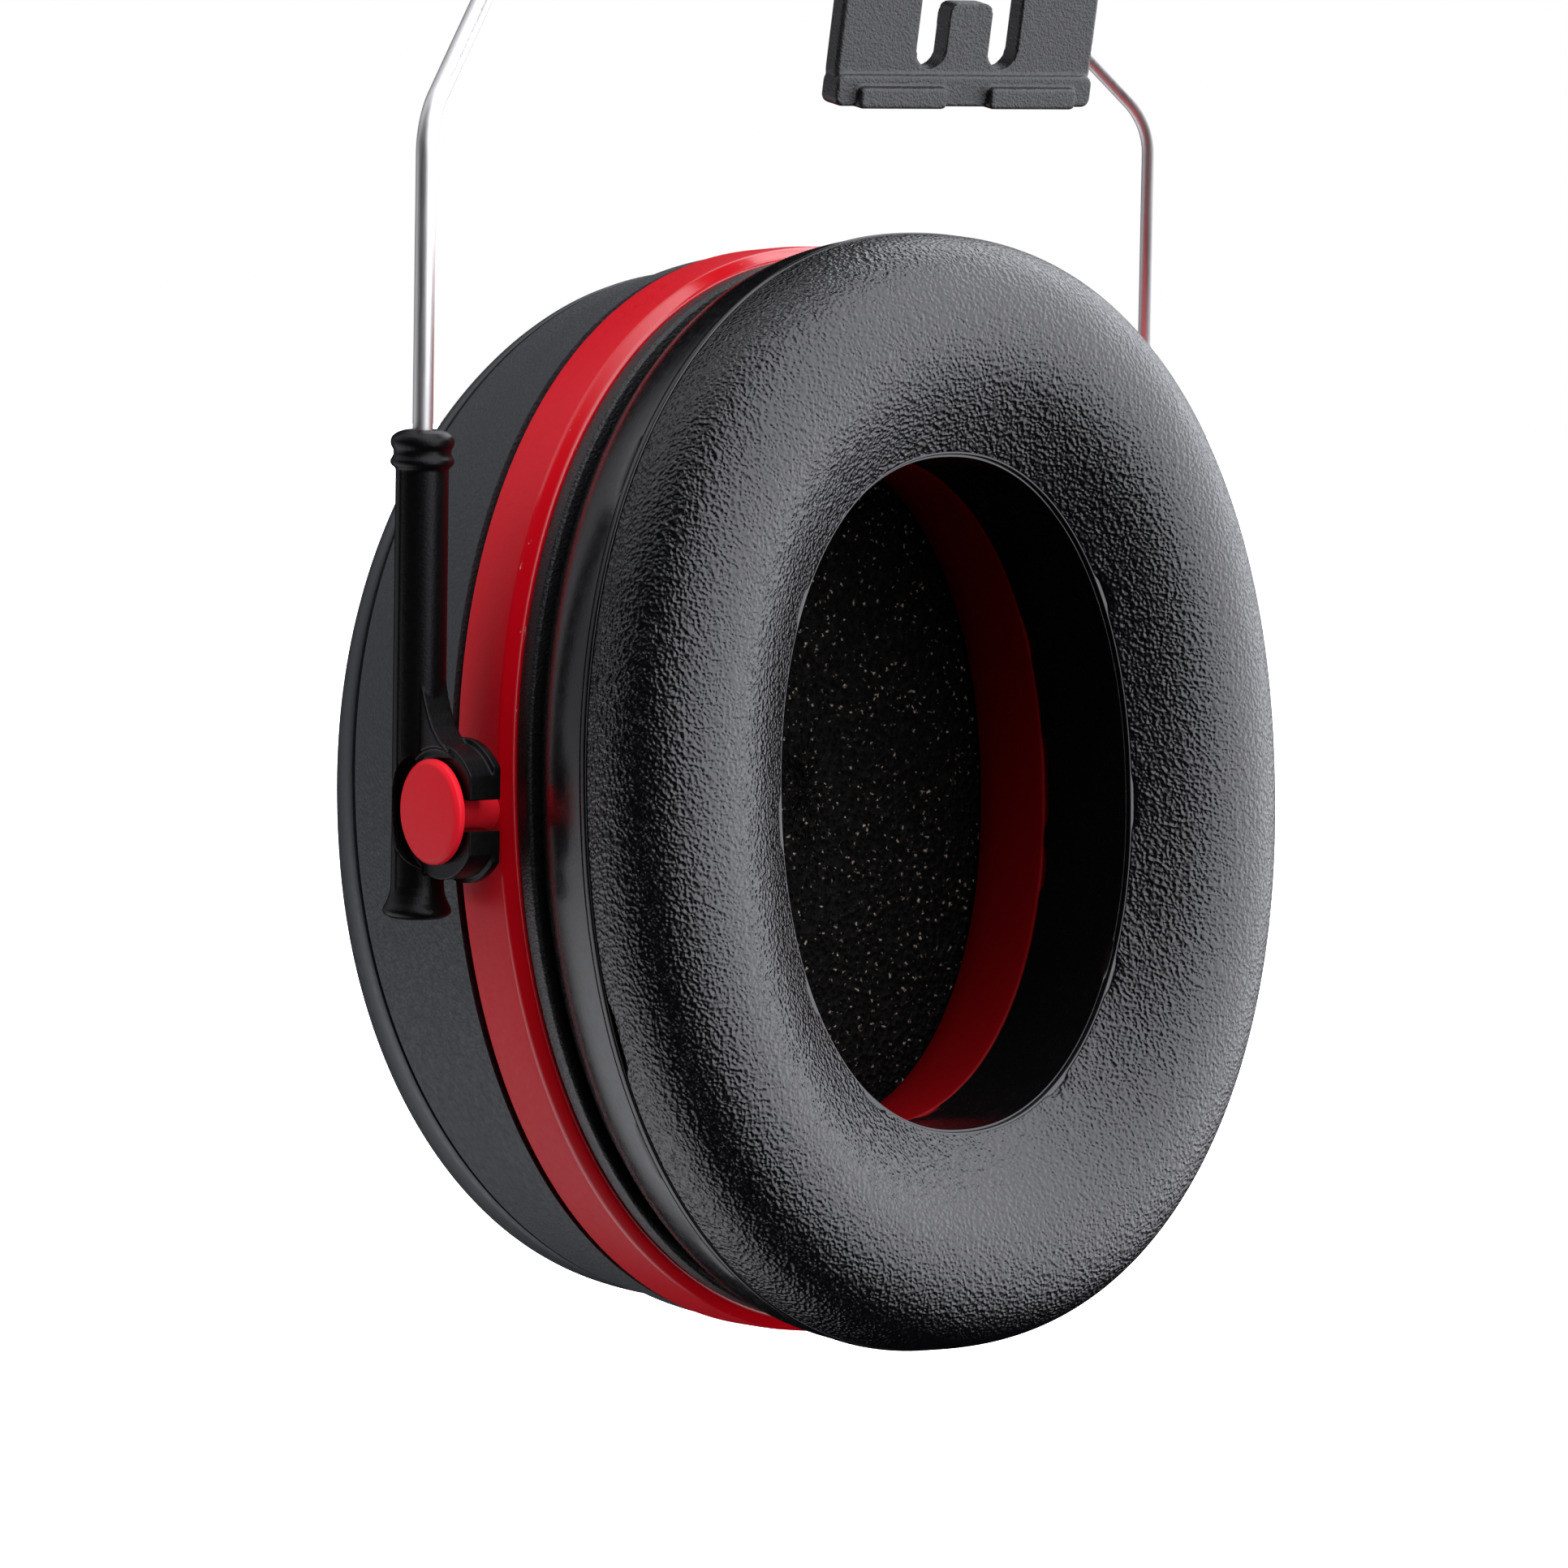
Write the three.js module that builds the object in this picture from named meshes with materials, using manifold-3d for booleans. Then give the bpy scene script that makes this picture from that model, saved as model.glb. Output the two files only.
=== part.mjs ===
// One side of a helmet-mounted earmuff: ear cup, wire yoke, folding lever and helmet-slot blade.
// Millimetres, +Z up, the cushion faces -Y.  The origin lies on the flat front face of the blade.
import * as THREE from 'three';
import { mergeVertices } from 'three/addons/utils/BufferGeometryUtils.js';
import Module from 'manifold-3d';

const wasm = await Module();
wasm.setup();

// ---- overall dimensions -------------------------------------------------------------------
const GAP = 0.3; // clearance between touching pieces
const STEPS = 36; // facets round the cup
const HIDDEN_STEPS = 28; // facets round the pieces inside the cup

// helmet-slot blade, in its own upright frame
const BLADE_LEAN = THREE.MathUtils.degToRad(10); // lean of the blade against the yoke
const BLADE_W = 31.2;
const BLADE_T = 2.1;
const BLADE_BOTTOM = -19.2;
const BLADE_STEP_Z = -16; // height of the step across the blade
const STEP_T = 0.5; // how far the band below the step stands proud
const HUB_Z = 20; // swivel axis above the origin
const HUB_R = 13;
const HUB_T = 3.2; // thickness of the round hub
const TONGUE_W = 5.2;
const TONGUE_TIP = -9;
const TONGUE_ROOT = -15.4;
const TIP_ROUND = 1.2; // corner radius of the tongue's tip
const SLOT_W = 3.5;
const LIP_W = 10.6;
const LIP_H = 1.5;
const LIP_STANDS = 1.3; // how far the snap lips stand proud of the blade

// cup pivot, yoke and crown, in the yoke's frame (origin between the pivots)
const PIVOT_FRAME_Y = 26.2; // yoke frame against the blade origin
const PIVOT_FRAME_Z = -87.6;
const PIVOT_Y = -1.65; // tilt axis of the cup
const WIRE_R = 1.0;
const WIRE_X = 45.0;
const WIRE_Y = 3.2;
const WIRE_END_Z = 5.2;
const SHOULDER_Z = 66.7; // where the legs bend inwards
const CROWN_X = 14;
const CROWN_Y = 20.3;
const CROWN_Z = 102.3;
const SHOULDER_BEND_R = 8;
const CROWN_BEND_R = 6;

// holders that slide on the wire and clip on the cup
const HOLDER_R = 2.6;
const HOLDER_TOP = 36.8;
const HOLDER_BOTTOM = -11.0;
const BORE_R = WIRE_R + GAP;
const BORE_BOTTOM = -9.4;
const FAIRING_TOP = 12.2; // where the web between tube and clip ends
const CLIP_R = 6.65;
const CLIP_X0 = 42.3;
const CLIP_X1 = 45.9;
const CLIP_CUT = 5.4; // the jaws end this far from the pivot
const CLIP_MOUTH = 3.0;
const NECK_R = 2.1;
const HEAD_R = 5.15;
const HEAD_X = 46.2;
const HEAD_T = 1.0;

// ear cup: half-width along X; the half-height is larger by OVAL_EXTRA
const CUP_TILT = THREE.MathUtils.degToRad(-4); // tilt of the cup on its pivots
const CUP_LIFT = 0.1; // centre of the oval above the pivots
const OVAL_EXTRA = 14;
const OVAL_POWER = 2.16; // superellipse exponent of the outline
const OVAL_FULL_R = 36; // the extra height is complete from this half-width outwards
const RING_R = 40.2;
const RING_FRONT = -6.0;
const RING_REAR = 3.6;
const RING_WALL = 2.2;
const RING_CHAMFER = 1.5;
const FLOOR_FRONT = -4.5;
const FLOOR_T = 1.8;
const COLLAR_R = 21.5;
const COLLAR_T = 1.9;
const COLLAR_FRONT = -10.6;
const COLLAR_REAR = 0.7;
const SHELL_R = 39.9;
const SHELL_FRONT = 4.9;
const CREASE_R = 38.4;
const CREASE_Y = 25.2;
const DOME_RISE = 21;
const DOME_POWER = 1.8;
const DOME_DROP = 9; // the top of the dome lies this much lower than its rim
const CREASE_SAG = 7; // the crease comes forward by this much at top and bottom
const SHELL_T = 2.6;
const COVER_T = 1.8;

// cushion
const PLATE_R = 39.1;
const PLATE_FRONT = -7.3;
const SEAM_R = 40.9;
const SEAM_Y = -19.1;
const PEAK_R = 31;
const PEAK_Y = -29.3;
const HOLE_R = 21.3;
const HOLE_SEAM_Y = -24.6;
const FOIL_T = 0.9;

// folding lever
const LEVER_HALF_W = 10;
const EYE_R = 8;
const DISC_R = 12.5;
const DISC_T = 5;
const PIN_R = 3;
const SCREW_X = 6.2;
const SCREW_DY = -5.2;

// ---- materials ----------------------------------------------------------------------------
const paint = (color, roughness, metalness = 0) =>
  new THREE.MeshStandardMaterial({ color, roughness, metalness });
const GREY_SHELL = paint(0x3a3e42, 0.55);
const GREY_COVER = paint(0x44484c, 0.4);
const RED = paint(0xb41f2c, 0.35);
const BLACK_RUBBER = paint(0x111112, 0.7);
const BLACK_PLASTIC = paint(0x17181a, 0.45);
const BLACK_FOIL = paint(0x1b1c1f, 0.3);
const FOAM = paint(0x1a1818, 0.95);
const CUSHION_FOAM = paint(0x4a4a4a, 0.95);
const STEEL = paint(0xb9bcc0, 0.25, 1);

// ---- solid modelling ----------------------------------------------------------------------
function solid(geometry) {
  const bare = geometry.clone();
  bare.deleteAttribute('normal');
  bare.deleteAttribute('uv');
  const merged = mergeVertices(bare, 1e-4);
  const vertProperties = new Float32Array(merged.attributes.position.array);
  const triVerts = new Uint32Array(merged.index.array);
  return new wasm.Manifold(new wasm.Mesh({ numProp: 3, vertProperties, triVerts }));
}

function geometryOf(body) {
  const out = body.getMesh();
  const geometry = new THREE.BufferGeometry();
  geometry.setAttribute('position', new THREE.BufferAttribute(out.vertProperties, 3));
  geometry.setIndex(new THREE.BufferAttribute(out.triVerts, 1));
  geometry.computeVertexNormals();
  return geometry;
}

const joined = (...list) => geometryOf(list.map(solid).reduce((a, b) => a.add(b)));

const cut = (base, ...tools) =>
  geometryOf(tools.map(solid).reduce((a, b) => a.subtract(b), solid(base)));

function mesh(name, geometry, material) {
  const piece = new THREE.Mesh(geometry, material);
  piece.name = name;
  return piece;
}

const at = (geometry, x, y, z) => geometry.clone().translate(x, y, z);

// a profile [radius, y] turned about Y; the profile may run either way round
function lathe(points, steps) {
  const area = points.reduce((sum, [r, y], i) => {
    const [nextR, nextY] = points[(i + 1) % points.length];
    return sum + r * nextY - nextR * y;
  }, 0);
  const ordered = area > 0 ? points : points.slice().reverse();
  return new THREE.LatheGeometry(ordered.map(([r, y]) => new THREE.Vector2(r, y)), steps);
}

// a lathed solid whose axis is turned from Y to Z or to X
const latheZ = (points, steps) => lathe(points, steps).rotateX(Math.PI / 2);
const latheX = (points, steps) => lathe(points, steps).rotateZ(-Math.PI / 2);

const rod = (radius, length, steps) => new THREE.CylinderGeometry(radius, radius, length, steps);
const rodX = (radius, length, steps = 24) => rod(radius, length, steps).rotateZ(Math.PI / 2);
const rodZ = (radius, length, steps = 24) => rod(radius, length, steps).rotateX(Math.PI / 2);

function outline(points) {
  const shape = new THREE.Shape();
  points.forEach(([x, y], i) => (i ? shape.lineTo(x, y) : shape.moveTo(x, y)));
  shape.closePath();
  return shape;
}

function roundedRect(x0, y0, x1, y1, r) {
  const shape = new THREE.Shape();
  shape.moveTo(x0 + r, y0);
  shape.lineTo(x1 - r, y0).absarc(x1 - r, y0 + r, r, -Math.PI / 2, 0);
  shape.lineTo(x1, y1 - r).absarc(x1 - r, y1 - r, r, 0, Math.PI / 2);
  shape.lineTo(x0 + r, y1).absarc(x0 + r, y1 - r, r, Math.PI / 2, Math.PI);
  shape.lineTo(x0, y0 + r).absarc(x0 + r, y0 + r, r, Math.PI, 1.5 * Math.PI);
  return shape;
}

// a flat shape drawn in X and Z and given a thickness along Y, starting at y0
function plateXZ(shape, y0, thickness, bevel = 0, curveSegments = 6) {
  const geometry = new THREE.ExtrudeGeometry(shape, {
    depth: thickness - 2 * bevel, curveSegments,
    bevelEnabled: bevel > 0, bevelSize: bevel, bevelThickness: bevel, bevelOffset: -bevel,
    bevelSegments: 1,
  });
  return geometry.rotateX(Math.PI / 2).translate(0, y0 + thickness - bevel, 0);
}

// a flat shape drawn in Y and Z and given a thickness along X, centred on x
function plateYZ(shape, x, thickness, bevel = 0, curveSegments = 8) {
  const geometry = new THREE.ExtrudeGeometry(shape, {
    depth: thickness - 2 * bevel, curveSegments,
    bevelEnabled: bevel > 0, bevelSize: bevel, bevelThickness: bevel, bevelOffset: -bevel,
    bevelSegments: 1,
  });
  const upright = new THREE.Matrix4().makeBasis(
    new THREE.Vector3(0, 1, 0), new THREE.Vector3(0, 0, 1), new THREE.Vector3(1, 0, 0));
  return geometry.applyMatrix4(upright).translate(x - thickness / 2 + bevel, 0, 0);
}

const box = (x0, x1, y0, y1, z0, z1) =>
  new THREE.BoxGeometry(x1 - x0, y1 - y0, z1 - z0)
    .translate((x0 + x1) / 2, (y0 + y1) / 2, (z0 + z1) / 2);

// ---- the oval of the cup ------------------------------------------------------------------
const ease = (t) => {
  const u = Math.min(1, Math.max(0, t));
  return u * u * (3 - 2 * u);
};

// a lathed profile [half-width, y] bent into the cup's oval; the shell's own bow is optional
function oval(points, steps = STEPS, bowed = false) {
  const geometry = lathe(points, steps);
  const position = geometry.attributes.position;
  for (let i = 0; i < position.count; i += 1) {
    const x = position.getX(i);
    const y = position.getY(i);
    const z = position.getZ(i);
    const r = Math.hypot(x, z);
    const extra = OVAL_EXTRA * (1 - (1 - Math.min(1, r / OVAL_FULL_R)) ** 2);
    const bend = (v) => (r > 0 ? Math.sign(v) * Math.abs(v / r) ** (2 / OVAL_POWER) : 0);
    const ovalX = r * bend(x);
    let ovalZ = (r + extra) * bend(z);
    let ovalY = y;
    if (bowed) {
      ovalY -= CREASE_SAG * (ovalZ / 50) ** 2 * ease((y - SHELL_FRONT) / 16);
      ovalZ -= DOME_DROP * ease((y - CREASE_Y) / DOME_RISE);
    }
    position.setXYZ(i, ovalX, ovalY, ovalZ + CUP_LIFT);
  }
  return geometry;
}

// dome profile from rim to top: half-width falls off as a superellipse
function domeArc(rimR, rimY, topY, count) {
  const arc = [];
  for (let i = 0; i < count; i += 1) {
    const t = i / count;
    arc.push([rimR * (1 - t ** DOME_POWER) ** (1 / DOME_POWER), rimY + (topY - rimY) * t]);
  }
  arc.push([0, topY]);
  return arc;
}

// ---- ear cup ------------------------------------------------------------------------------
function outerShell() {
  const spigotR = RING_R - RING_WALL - GAP;
  const seat = COVER_T + GAP;
  const outside = domeArc(CREASE_R - seat, CREASE_Y - 0.6, CREASE_Y + DOME_RISE - seat, 8);
  const innerR = spigotR - 2;
  const inside = domeArc(innerR - 1.2, CREASE_Y - SHELL_T, CREASE_Y + DOME_RISE - seat - SHELL_T, 8);
  const points = [
    ...inside.reverse(), [innerR, SHELL_FRONT], [innerR, FLOOR_FRONT + FLOOR_T + GAP + 0.2],
    [spigotR, FLOOR_FRONT + FLOOR_T + GAP + 0.2], [spigotR, SHELL_FRONT],
    [SHELL_R, SHELL_FRONT], [CREASE_R, CREASE_Y - 0.6], ...outside,
  ];
  return mesh('outer_shell', oval(points, STEPS, true), GREY_SHELL);
}

function shellCover() {
  const outside = domeArc(CREASE_R, CREASE_Y, CREASE_Y + DOME_RISE, 9);
  const inside = domeArc(CREASE_R - COVER_T, CREASE_Y - 0.3, CREASE_Y + DOME_RISE - COVER_T, 9);
  const rim = [[CREASE_R - 0.35, CREASE_Y - 0.3]];
  return mesh('shell_cover', oval([...inside.reverse(), ...rim, ...outside], STEPS, true),
    GREY_COVER);
}

function shellGasket() {
  const inner = RING_R - RING_WALL + 0.05;
  const outer = SHELL_R - 0.6;
  const y0 = RING_REAR + GAP;
  const y1 = SHELL_FRONT - GAP;
  return mesh('shell_gasket', oval([
    [inner, y0], [outer, y0], [outer, y1], [inner, y1], [inner, y0],
  ]), BLACK_RUBBER);
}

// red moulding: outer band, floor, collar that carries the cushion, and the two pivot studs
function cupRing() {
  const inner = RING_R - RING_WALL;
  const body = oval([
    [RING_R - RING_CHAMFER * 0.7, RING_FRONT], [RING_R, RING_FRONT + RING_CHAMFER],
    [RING_R + 0.1, -1], [RING_R, RING_REAR - 0.3], [RING_R - 0.3, RING_REAR],
    [inner, RING_REAR], [inner, FLOOR_FRONT + FLOOR_T],
    [COLLAR_R + COLLAR_T + 1.4, FLOOR_FRONT + FLOOR_T], [COLLAR_R + COLLAR_T, COLLAR_REAR],
    [COLLAR_R + 0.7, COLLAR_REAR], [COLLAR_R + 0.2, -2], [COLLAR_R, -6],
    [COLLAR_R, COLLAR_FRONT], [COLLAR_R + COLLAR_T, COLLAR_FRONT],
    [COLLAR_R + COLLAR_T, FLOOR_FRONT], [inner, FLOOR_FRONT], [inner, RING_FRONT],
    [RING_R - RING_CHAMFER * 0.7, RING_FRONT],
  ]);
  const studs = [-1, 1].map((side) => {
    const start = RING_R - 1.2;
    const stud = latheX([
      [0, start], [NECK_R, start], [NECK_R, HEAD_X], [HEAD_R, HEAD_X], [HEAD_R, HEAD_X + 0.5],
      [HEAD_R - 0.7, HEAD_X + HEAD_T], [2.4, HEAD_X + HEAD_T + 0.2], [0, HEAD_X + HEAD_T + 0.25],
    ], 28);
    return at(side > 0 ? stud : stud.rotateZ(Math.PI), 0, PIVOT_Y, 0);
  });
  return mesh('cup_ring', joined(body, ...studs), RED);
}

function foamPad() {
  const front = COLLAR_REAR + GAP;
  return mesh('foam_pad', oval([
    [0, front], [30, front], [33.5, front + 1.5], [34, front + 8], [0, front + 8],
  ], HIDDEN_STEPS, true), FOAM);
}

function foamBlock() {
  const front = COLLAR_REAR + 8 + 2 * GAP;
  return mesh('foam_block', oval([
    [0, front], [33.6, front], [33.2, 19], [27, 26], [0, 29],
  ], HIDDEN_STEPS, true), FOAM);
}

// ---- cushion ------------------------------------------------------------------------------
function cushionPlate() {
  const inner = COLLAR_R + COLLAR_T + GAP;
  return mesh('cushion_plate', oval([
    [inner, FLOOR_FRONT - GAP], [inner, PLATE_FRONT], [PLATE_R - 0.3, PLATE_FRONT],
    [PLATE_R, PLATE_FRONT + 0.3], [PLATE_R, RING_FRONT - GAP],
    [RING_R - RING_WALL - 0.5, RING_FRONT - GAP],
    [RING_R - RING_WALL - 0.5, FLOOR_FRONT - GAP], [inner, FLOOR_FRONT - GAP],
  ]), BLACK_PLASTIC);
}

const SKIRT_START = [37.9, PLATE_FRONT - GAP];

function cushionSkirt() {
  const outside = [
    SKIRT_START, [38.3, -8.6], [39.4, -10.2], [40.3, -12.4], [40.8, -15.4], [SEAM_R, SEAM_Y + GAP],
  ];
  const inside = outside.map(([r, y]) => [r - FOIL_T, y]).reverse();
  return mesh('cushion_skirt', oval([...outside, ...inside, outside[0]]), BLACK_FOIL);
}

// section of the grained face between its outer and its inner seam
const FACE_SECTION = [
  [SEAM_R, SEAM_Y], [40.75, -22.4], [39.8, -25.2], [37.9, -27.3], [35, -28.7],
  [PEAK_R, PEAK_Y], [27.4, -28.9], [24.6, -27.8], [22.5, -26.3], [HOLE_R, HOLE_SEAM_Y],
];

// the same section set inwards by a depth; its two ends move only sideways
function insetSection(section, depth) {
  const last = section.length - 1;
  return section.map(([r, y], i) => {
    if (i === 0) return [r - depth, y];
    if (i === last) return [r + depth, y];
    const [r0, y0] = section[i - 1];
    const [r1, y1] = section[i + 1];
    const length = Math.hypot(r1 - r0, y1 - y0);
    return [r + (depth * (y1 - y0)) / length, y - (depth * (r1 - r0)) / length];
  });
}

function cushionFace() {
  const inside = insetSection(FACE_SECTION, FOIL_T).reverse();
  return mesh('cushion_face',
    oval([...FACE_SECTION, ...inside, FACE_SECTION[0]]), BLACK_FOIL);
}

function cushionLiner() {
  const y0 = COLLAR_FRONT - GAP;
  const y1 = HOLE_SEAM_Y + GAP;
  return mesh('cushion_liner', oval([
    [COLLAR_R, y0], [COLLAR_R + FOIL_T, y0], [HOLE_R + FOIL_T, y1], [HOLE_R, y1], [COLLAR_R, y0],
  ]), BLACK_FOIL);
}

function cushionFoam() {
  const crown = insetSection(FACE_SECTION, FOIL_T + GAP).slice(1, -1);
  const back = PLATE_FRONT - GAP;
  const step = COLLAR_FRONT - GAP;
  const collar = COLLAR_R + COLLAR_T + 0.4;
  const points = [
    [36.6, back], [38.0, -10.6], [39.3, -15], [39.5, SEAM_Y], ...crown,
    [HOLE_R + FOIL_T + GAP, HOLE_SEAM_Y - 0.3], [COLLAR_R + FOIL_T + GAP + 0.1, step],
    [collar, step], [collar, back], [36.6, back],
  ];
  return mesh('cushion_foam', oval(points), CUSHION_FOAM);
}

// ---- holders ------------------------------------------------------------------------------
function clipOutline() {
  const shape = new THREE.Shape();
  const jaw = -CLIP_CUT;
  const half = CLIP_MOUTH / 2;
  const inner = NECK_R + GAP;
  const outerAngle = Math.acos(CLIP_CUT / CLIP_R);
  const innerAngle = Math.asin(half / inner);
  shape.moveTo(jaw, half);
  shape.lineTo(-Math.cos(innerAngle) * inner, half);
  shape.absarc(0, 0, inner, Math.PI - innerAngle, -Math.PI + innerAngle, true);
  shape.lineTo(jaw, -half);
  shape.absarc(0, 0, CLIP_R, -Math.PI + outerAngle, Math.PI - outerAngle, false);
  shape.closePath();
  return shape;
}

// the holder is built at x = WIRE_X and mirrored for the other side by turning it about Z
function holder(name, side) {
  const r = HOLDER_R;
  const foot = HOLDER_BOTTOM;
  const top = HOLDER_TOP;
  const tube = latheZ([
    [0, foot], [2.6, foot + 0.15], [3.35, foot + 0.6], [3.35, foot + 1.1], [2.9, foot + 1.9],
    [r, foot + 3.2], [r, top - 3.8], [3.1, top - 3.3], [3.1, top - 2.8], [2.8, top - 2.2],
    [3.1, top - 1.5], [3.1, top - 0.9], [2.4, top - 0.25], [1.6, top], [0, top],
  ], 20).translate(WIRE_X, WIRE_Y, 0);
  const clip = plateYZ(clipOutline(), (CLIP_X0 + CLIP_X1) / 2, CLIP_X1 - CLIP_X0, 0.3, 9)
    .translate(0, PIVOT_Y, 0);
  const fairing = plateYZ(outline([
    [WIRE_Y - 0.4, 5], [PIVOT_Y - 2.0, 5.8], [PIVOT_Y, 7.2], [PIVOT_Y + 1.5, 9.0],
    [WIRE_Y - r + 0.1, FAIRING_TOP - 0.6], [WIRE_Y - 0.4, FAIRING_TOP],
  ]), WIRE_X - 0.2, 2.8, 0.3);
  const bore = rodZ(BORE_R, HOLDER_TOP - BORE_BOTTOM + 1, 20)
    .translate(WIRE_X, WIRE_Y, (HOLDER_TOP + 1 + BORE_BOTTOM) / 2);
  const recess = rodX(6.2, 4, 32).translate(HEAD_X - 0.2 + 2, PIVOT_Y, 0);
  let geometry = geometryOf(solid(tube).add(solid(clip)).add(solid(fairing))
    .subtract(solid(bore)).subtract(solid(recess)));
  if (side < 0) {
    geometry = geometryOf(solid(geometry).mirror([1, 0, 0]));
  }
  return mesh(name, geometry, BLACK_PLASTIC);
}

// ---- wire yoke ----------------------------------------------------------------------------
// a path through given points, taken one step per point
class PointPath extends THREE.Curve {
  constructor(points) {
    super();
    this.points = points;
  }

  getPoint(t) {
    const last = this.points.length - 1;
    const place = Math.min(last, Math.max(0, t * last));
    const i = Math.min(last - 1, Math.floor(place));
    return this.points[i].clone().lerp(this.points[i + 1], place - i);
  }

  getPointAt(t) {
    return this.getPoint(t);
  }

  getTangentAt(t) {
    const step = 0.5 / (this.points.length - 1);
    return this.getPoint(Math.min(1, t + step)).sub(this.getPoint(Math.max(0, t - step)))
      .normalize();
  }
}

// corner points joined by straight runs, every inner corner rounded to its bend radius
function bentPath(corners, radii, perBend) {
  const points = [corners[0]];
  for (let i = 1; i < corners.length - 1; i += 1) {
    const back = corners[i - 1].clone().sub(corners[i]).normalize();
    const on = corners[i + 1].clone().sub(corners[i]).normalize();
    const half = back.angleTo(on) / 2;
    const reach = radii[i - 1] / Math.tan(half);
    const middle = back.clone().add(on).normalize().multiplyScalar(radii[i - 1] / Math.sin(half))
      .add(corners[i]);
    const from = corners[i].clone().addScaledVector(back, reach).sub(middle);
    const to = corners[i].clone().addScaledVector(on, reach).sub(middle);
    const turn = from.angleTo(to);
    const axis = from.clone().cross(to).normalize();
    for (let k = 0; k <= perBend; k += 1) {
      points.push(from.clone().applyAxisAngle(axis, (turn * k) / perBend).add(middle));
    }
  }
  points.push(corners[corners.length - 1]);
  return new PointPath(points);
}

function wireAlong(path, radius, sides) {
  const section = new THREE.Shape().absarc(0, 0, radius, 0, 2 * Math.PI, false);
  return new THREE.ExtrudeGeometry(section, {
    steps: path.points.length - 1, curveSegments: sides, extrudePath: path, bevelEnabled: false,
  });
}

function wireYoke() {
  const corner = (x, y, z) => new THREE.Vector3(x, y, z);
  const path = bentPath([
    corner(-WIRE_X, WIRE_Y, WIRE_END_Z), corner(-WIRE_X, WIRE_Y, SHOULDER_Z),
    corner(-CROWN_X, CROWN_Y, CROWN_Z), corner(CROWN_X, CROWN_Y, CROWN_Z),
    corner(WIRE_X, WIRE_Y, SHOULDER_Z), corner(WIRE_X, WIRE_Y, WIRE_END_Z),
  ], [SHOULDER_BEND_R, CROWN_BEND_R, CROWN_BEND_R, SHOULDER_BEND_R], 6);
  return mesh('wire_yoke', wireAlong(path, WIRE_R, 7), STEEL);
}

// ---- folding lever ------------------------------------------------------------------------
// moves a shape made in the blade's frame into the yoke's frame
function fromBlade(geometry) {
  return geometry.clone().rotateX(BLADE_LEAN).translate(0, -PIVOT_FRAME_Y, -PIVOT_FRAME_Z);
}

const EYE_SPLIT = 0.15; // half of the gap between lever and crown cap
const COVER_Y0 = -13;
const COVER_Y1 = 8;

function leverProfile() {
  const shape = new THREE.Shape();
  shape.moveTo(-22.6, 98.4);
  shape.quadraticCurveTo(-2, 95.0, CROWN_Y - EYE_R - 2.2, CROWN_Z - EYE_R + 1);
  shape.lineTo(CROWN_Y, CROWN_Z - EYE_R);
  shape.absarc(CROWN_Y, CROWN_Z, EYE_R, -Math.PI / 2, Math.PI / 2);
  shape.quadraticCurveTo(0, 116.0, -26.2, 117.2);
  shape.closePath();
  return shape;
}

function screwHole(x) {
  return rodZ(1.4, 24, 16).translate(x, CROWN_Y + SCREW_DY, CROWN_Z + 1);
}

function leverBody() {
  const beam = plateYZ(leverProfile(), 0, 2 * LEVER_HALF_W, 1.2, 10);
  const disc = fromBlade(rod(DISC_R, DISC_T, 36)
    .translate(0, BLADE_T + GAP + DISC_T / 2, HUB_Z));
  const pinHole = fromBlade(rod(PIN_R + GAP, 12, 24).translate(0, BLADE_T + 5, HUB_Z));
  const nutWell = fromBlade(rod(6.2, 9, 24).translate(0, BLADE_T + 4.2 + 4.5, HUB_Z));
  const belowSplit = box(-11, 11, CROWN_Y - 9, CROWN_Y + 9, CROWN_Z - 12, CROWN_Z + EYE_SPLIT);
  const groove = rodX(BORE_R, 30, 20).translate(0, CROWN_Y, CROWN_Z);
  const springRoom = rodX(3.6, 8.6, 24).translate(0, CROWN_Y, CROWN_Z);
  const rebate = box(-7.3, 7.3, COVER_Y0, COVER_Y1, 108.6, 122);
  const well = box(-6, 6, COVER_Y0 + 1.5, COVER_Y1 - 1.5, 100.5, 112);
  const body = joined(beam, disc);
  return mesh('lever_body', cut(body, pinHole, nutWell, belowSplit, groove, springRoom, rebate,
    well, screwHole(SCREW_X), screwHole(-SCREW_X)), BLACK_PLASTIC);
}

function leverCover() {
  const lid = plateYZ(leverProfile(), 0, 14, 0, 10);
  const keep = box(-7, 7, COVER_Y0 + GAP, COVER_Y1 - GAP, 108.6 + GAP, 122);
  return mesh('lever_cover', geometryOf(solid(lid).intersect(solid(keep))), GREY_COVER);
}

function crownCap() {
  const shape = new THREE.Shape();
  shape.moveTo(CROWN_Y - 9 + GAP, CROWN_Z - EYE_R + 1);
  shape.lineTo(CROWN_Y, CROWN_Z - EYE_R);
  shape.absarc(CROWN_Y, CROWN_Z, EYE_R, -Math.PI / 2, 0);
  shape.lineTo(CROWN_Y - 9 + GAP, CROWN_Z);
  shape.closePath();
  const block = plateYZ(shape, 0, 2 * LEVER_HALF_W, 0, 10);
  const above = box(-12, 12, CROWN_Y - 12, CROWN_Y + 12, CROWN_Z - EYE_SPLIT, CROWN_Z + 4);
  const groove = rodX(BORE_R, 30, 20).translate(0, CROWN_Y, CROWN_Z);
  const springRoom = rodX(3.6, 8.6, 24).translate(0, CROWN_Y, CROWN_Z);
  const sinks = [-1, 1].map((side) => rodZ(2.6, 6, 20)
    .translate(side * SCREW_X, CROWN_Y + SCREW_DY, CROWN_Z - 8.2));
  return mesh('crown_cap', cut(block, above, groove, springRoom, ...sinks,
    screwHole(SCREW_X), screwHole(-SCREW_X)), BLACK_PLASTIC);
}

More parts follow.
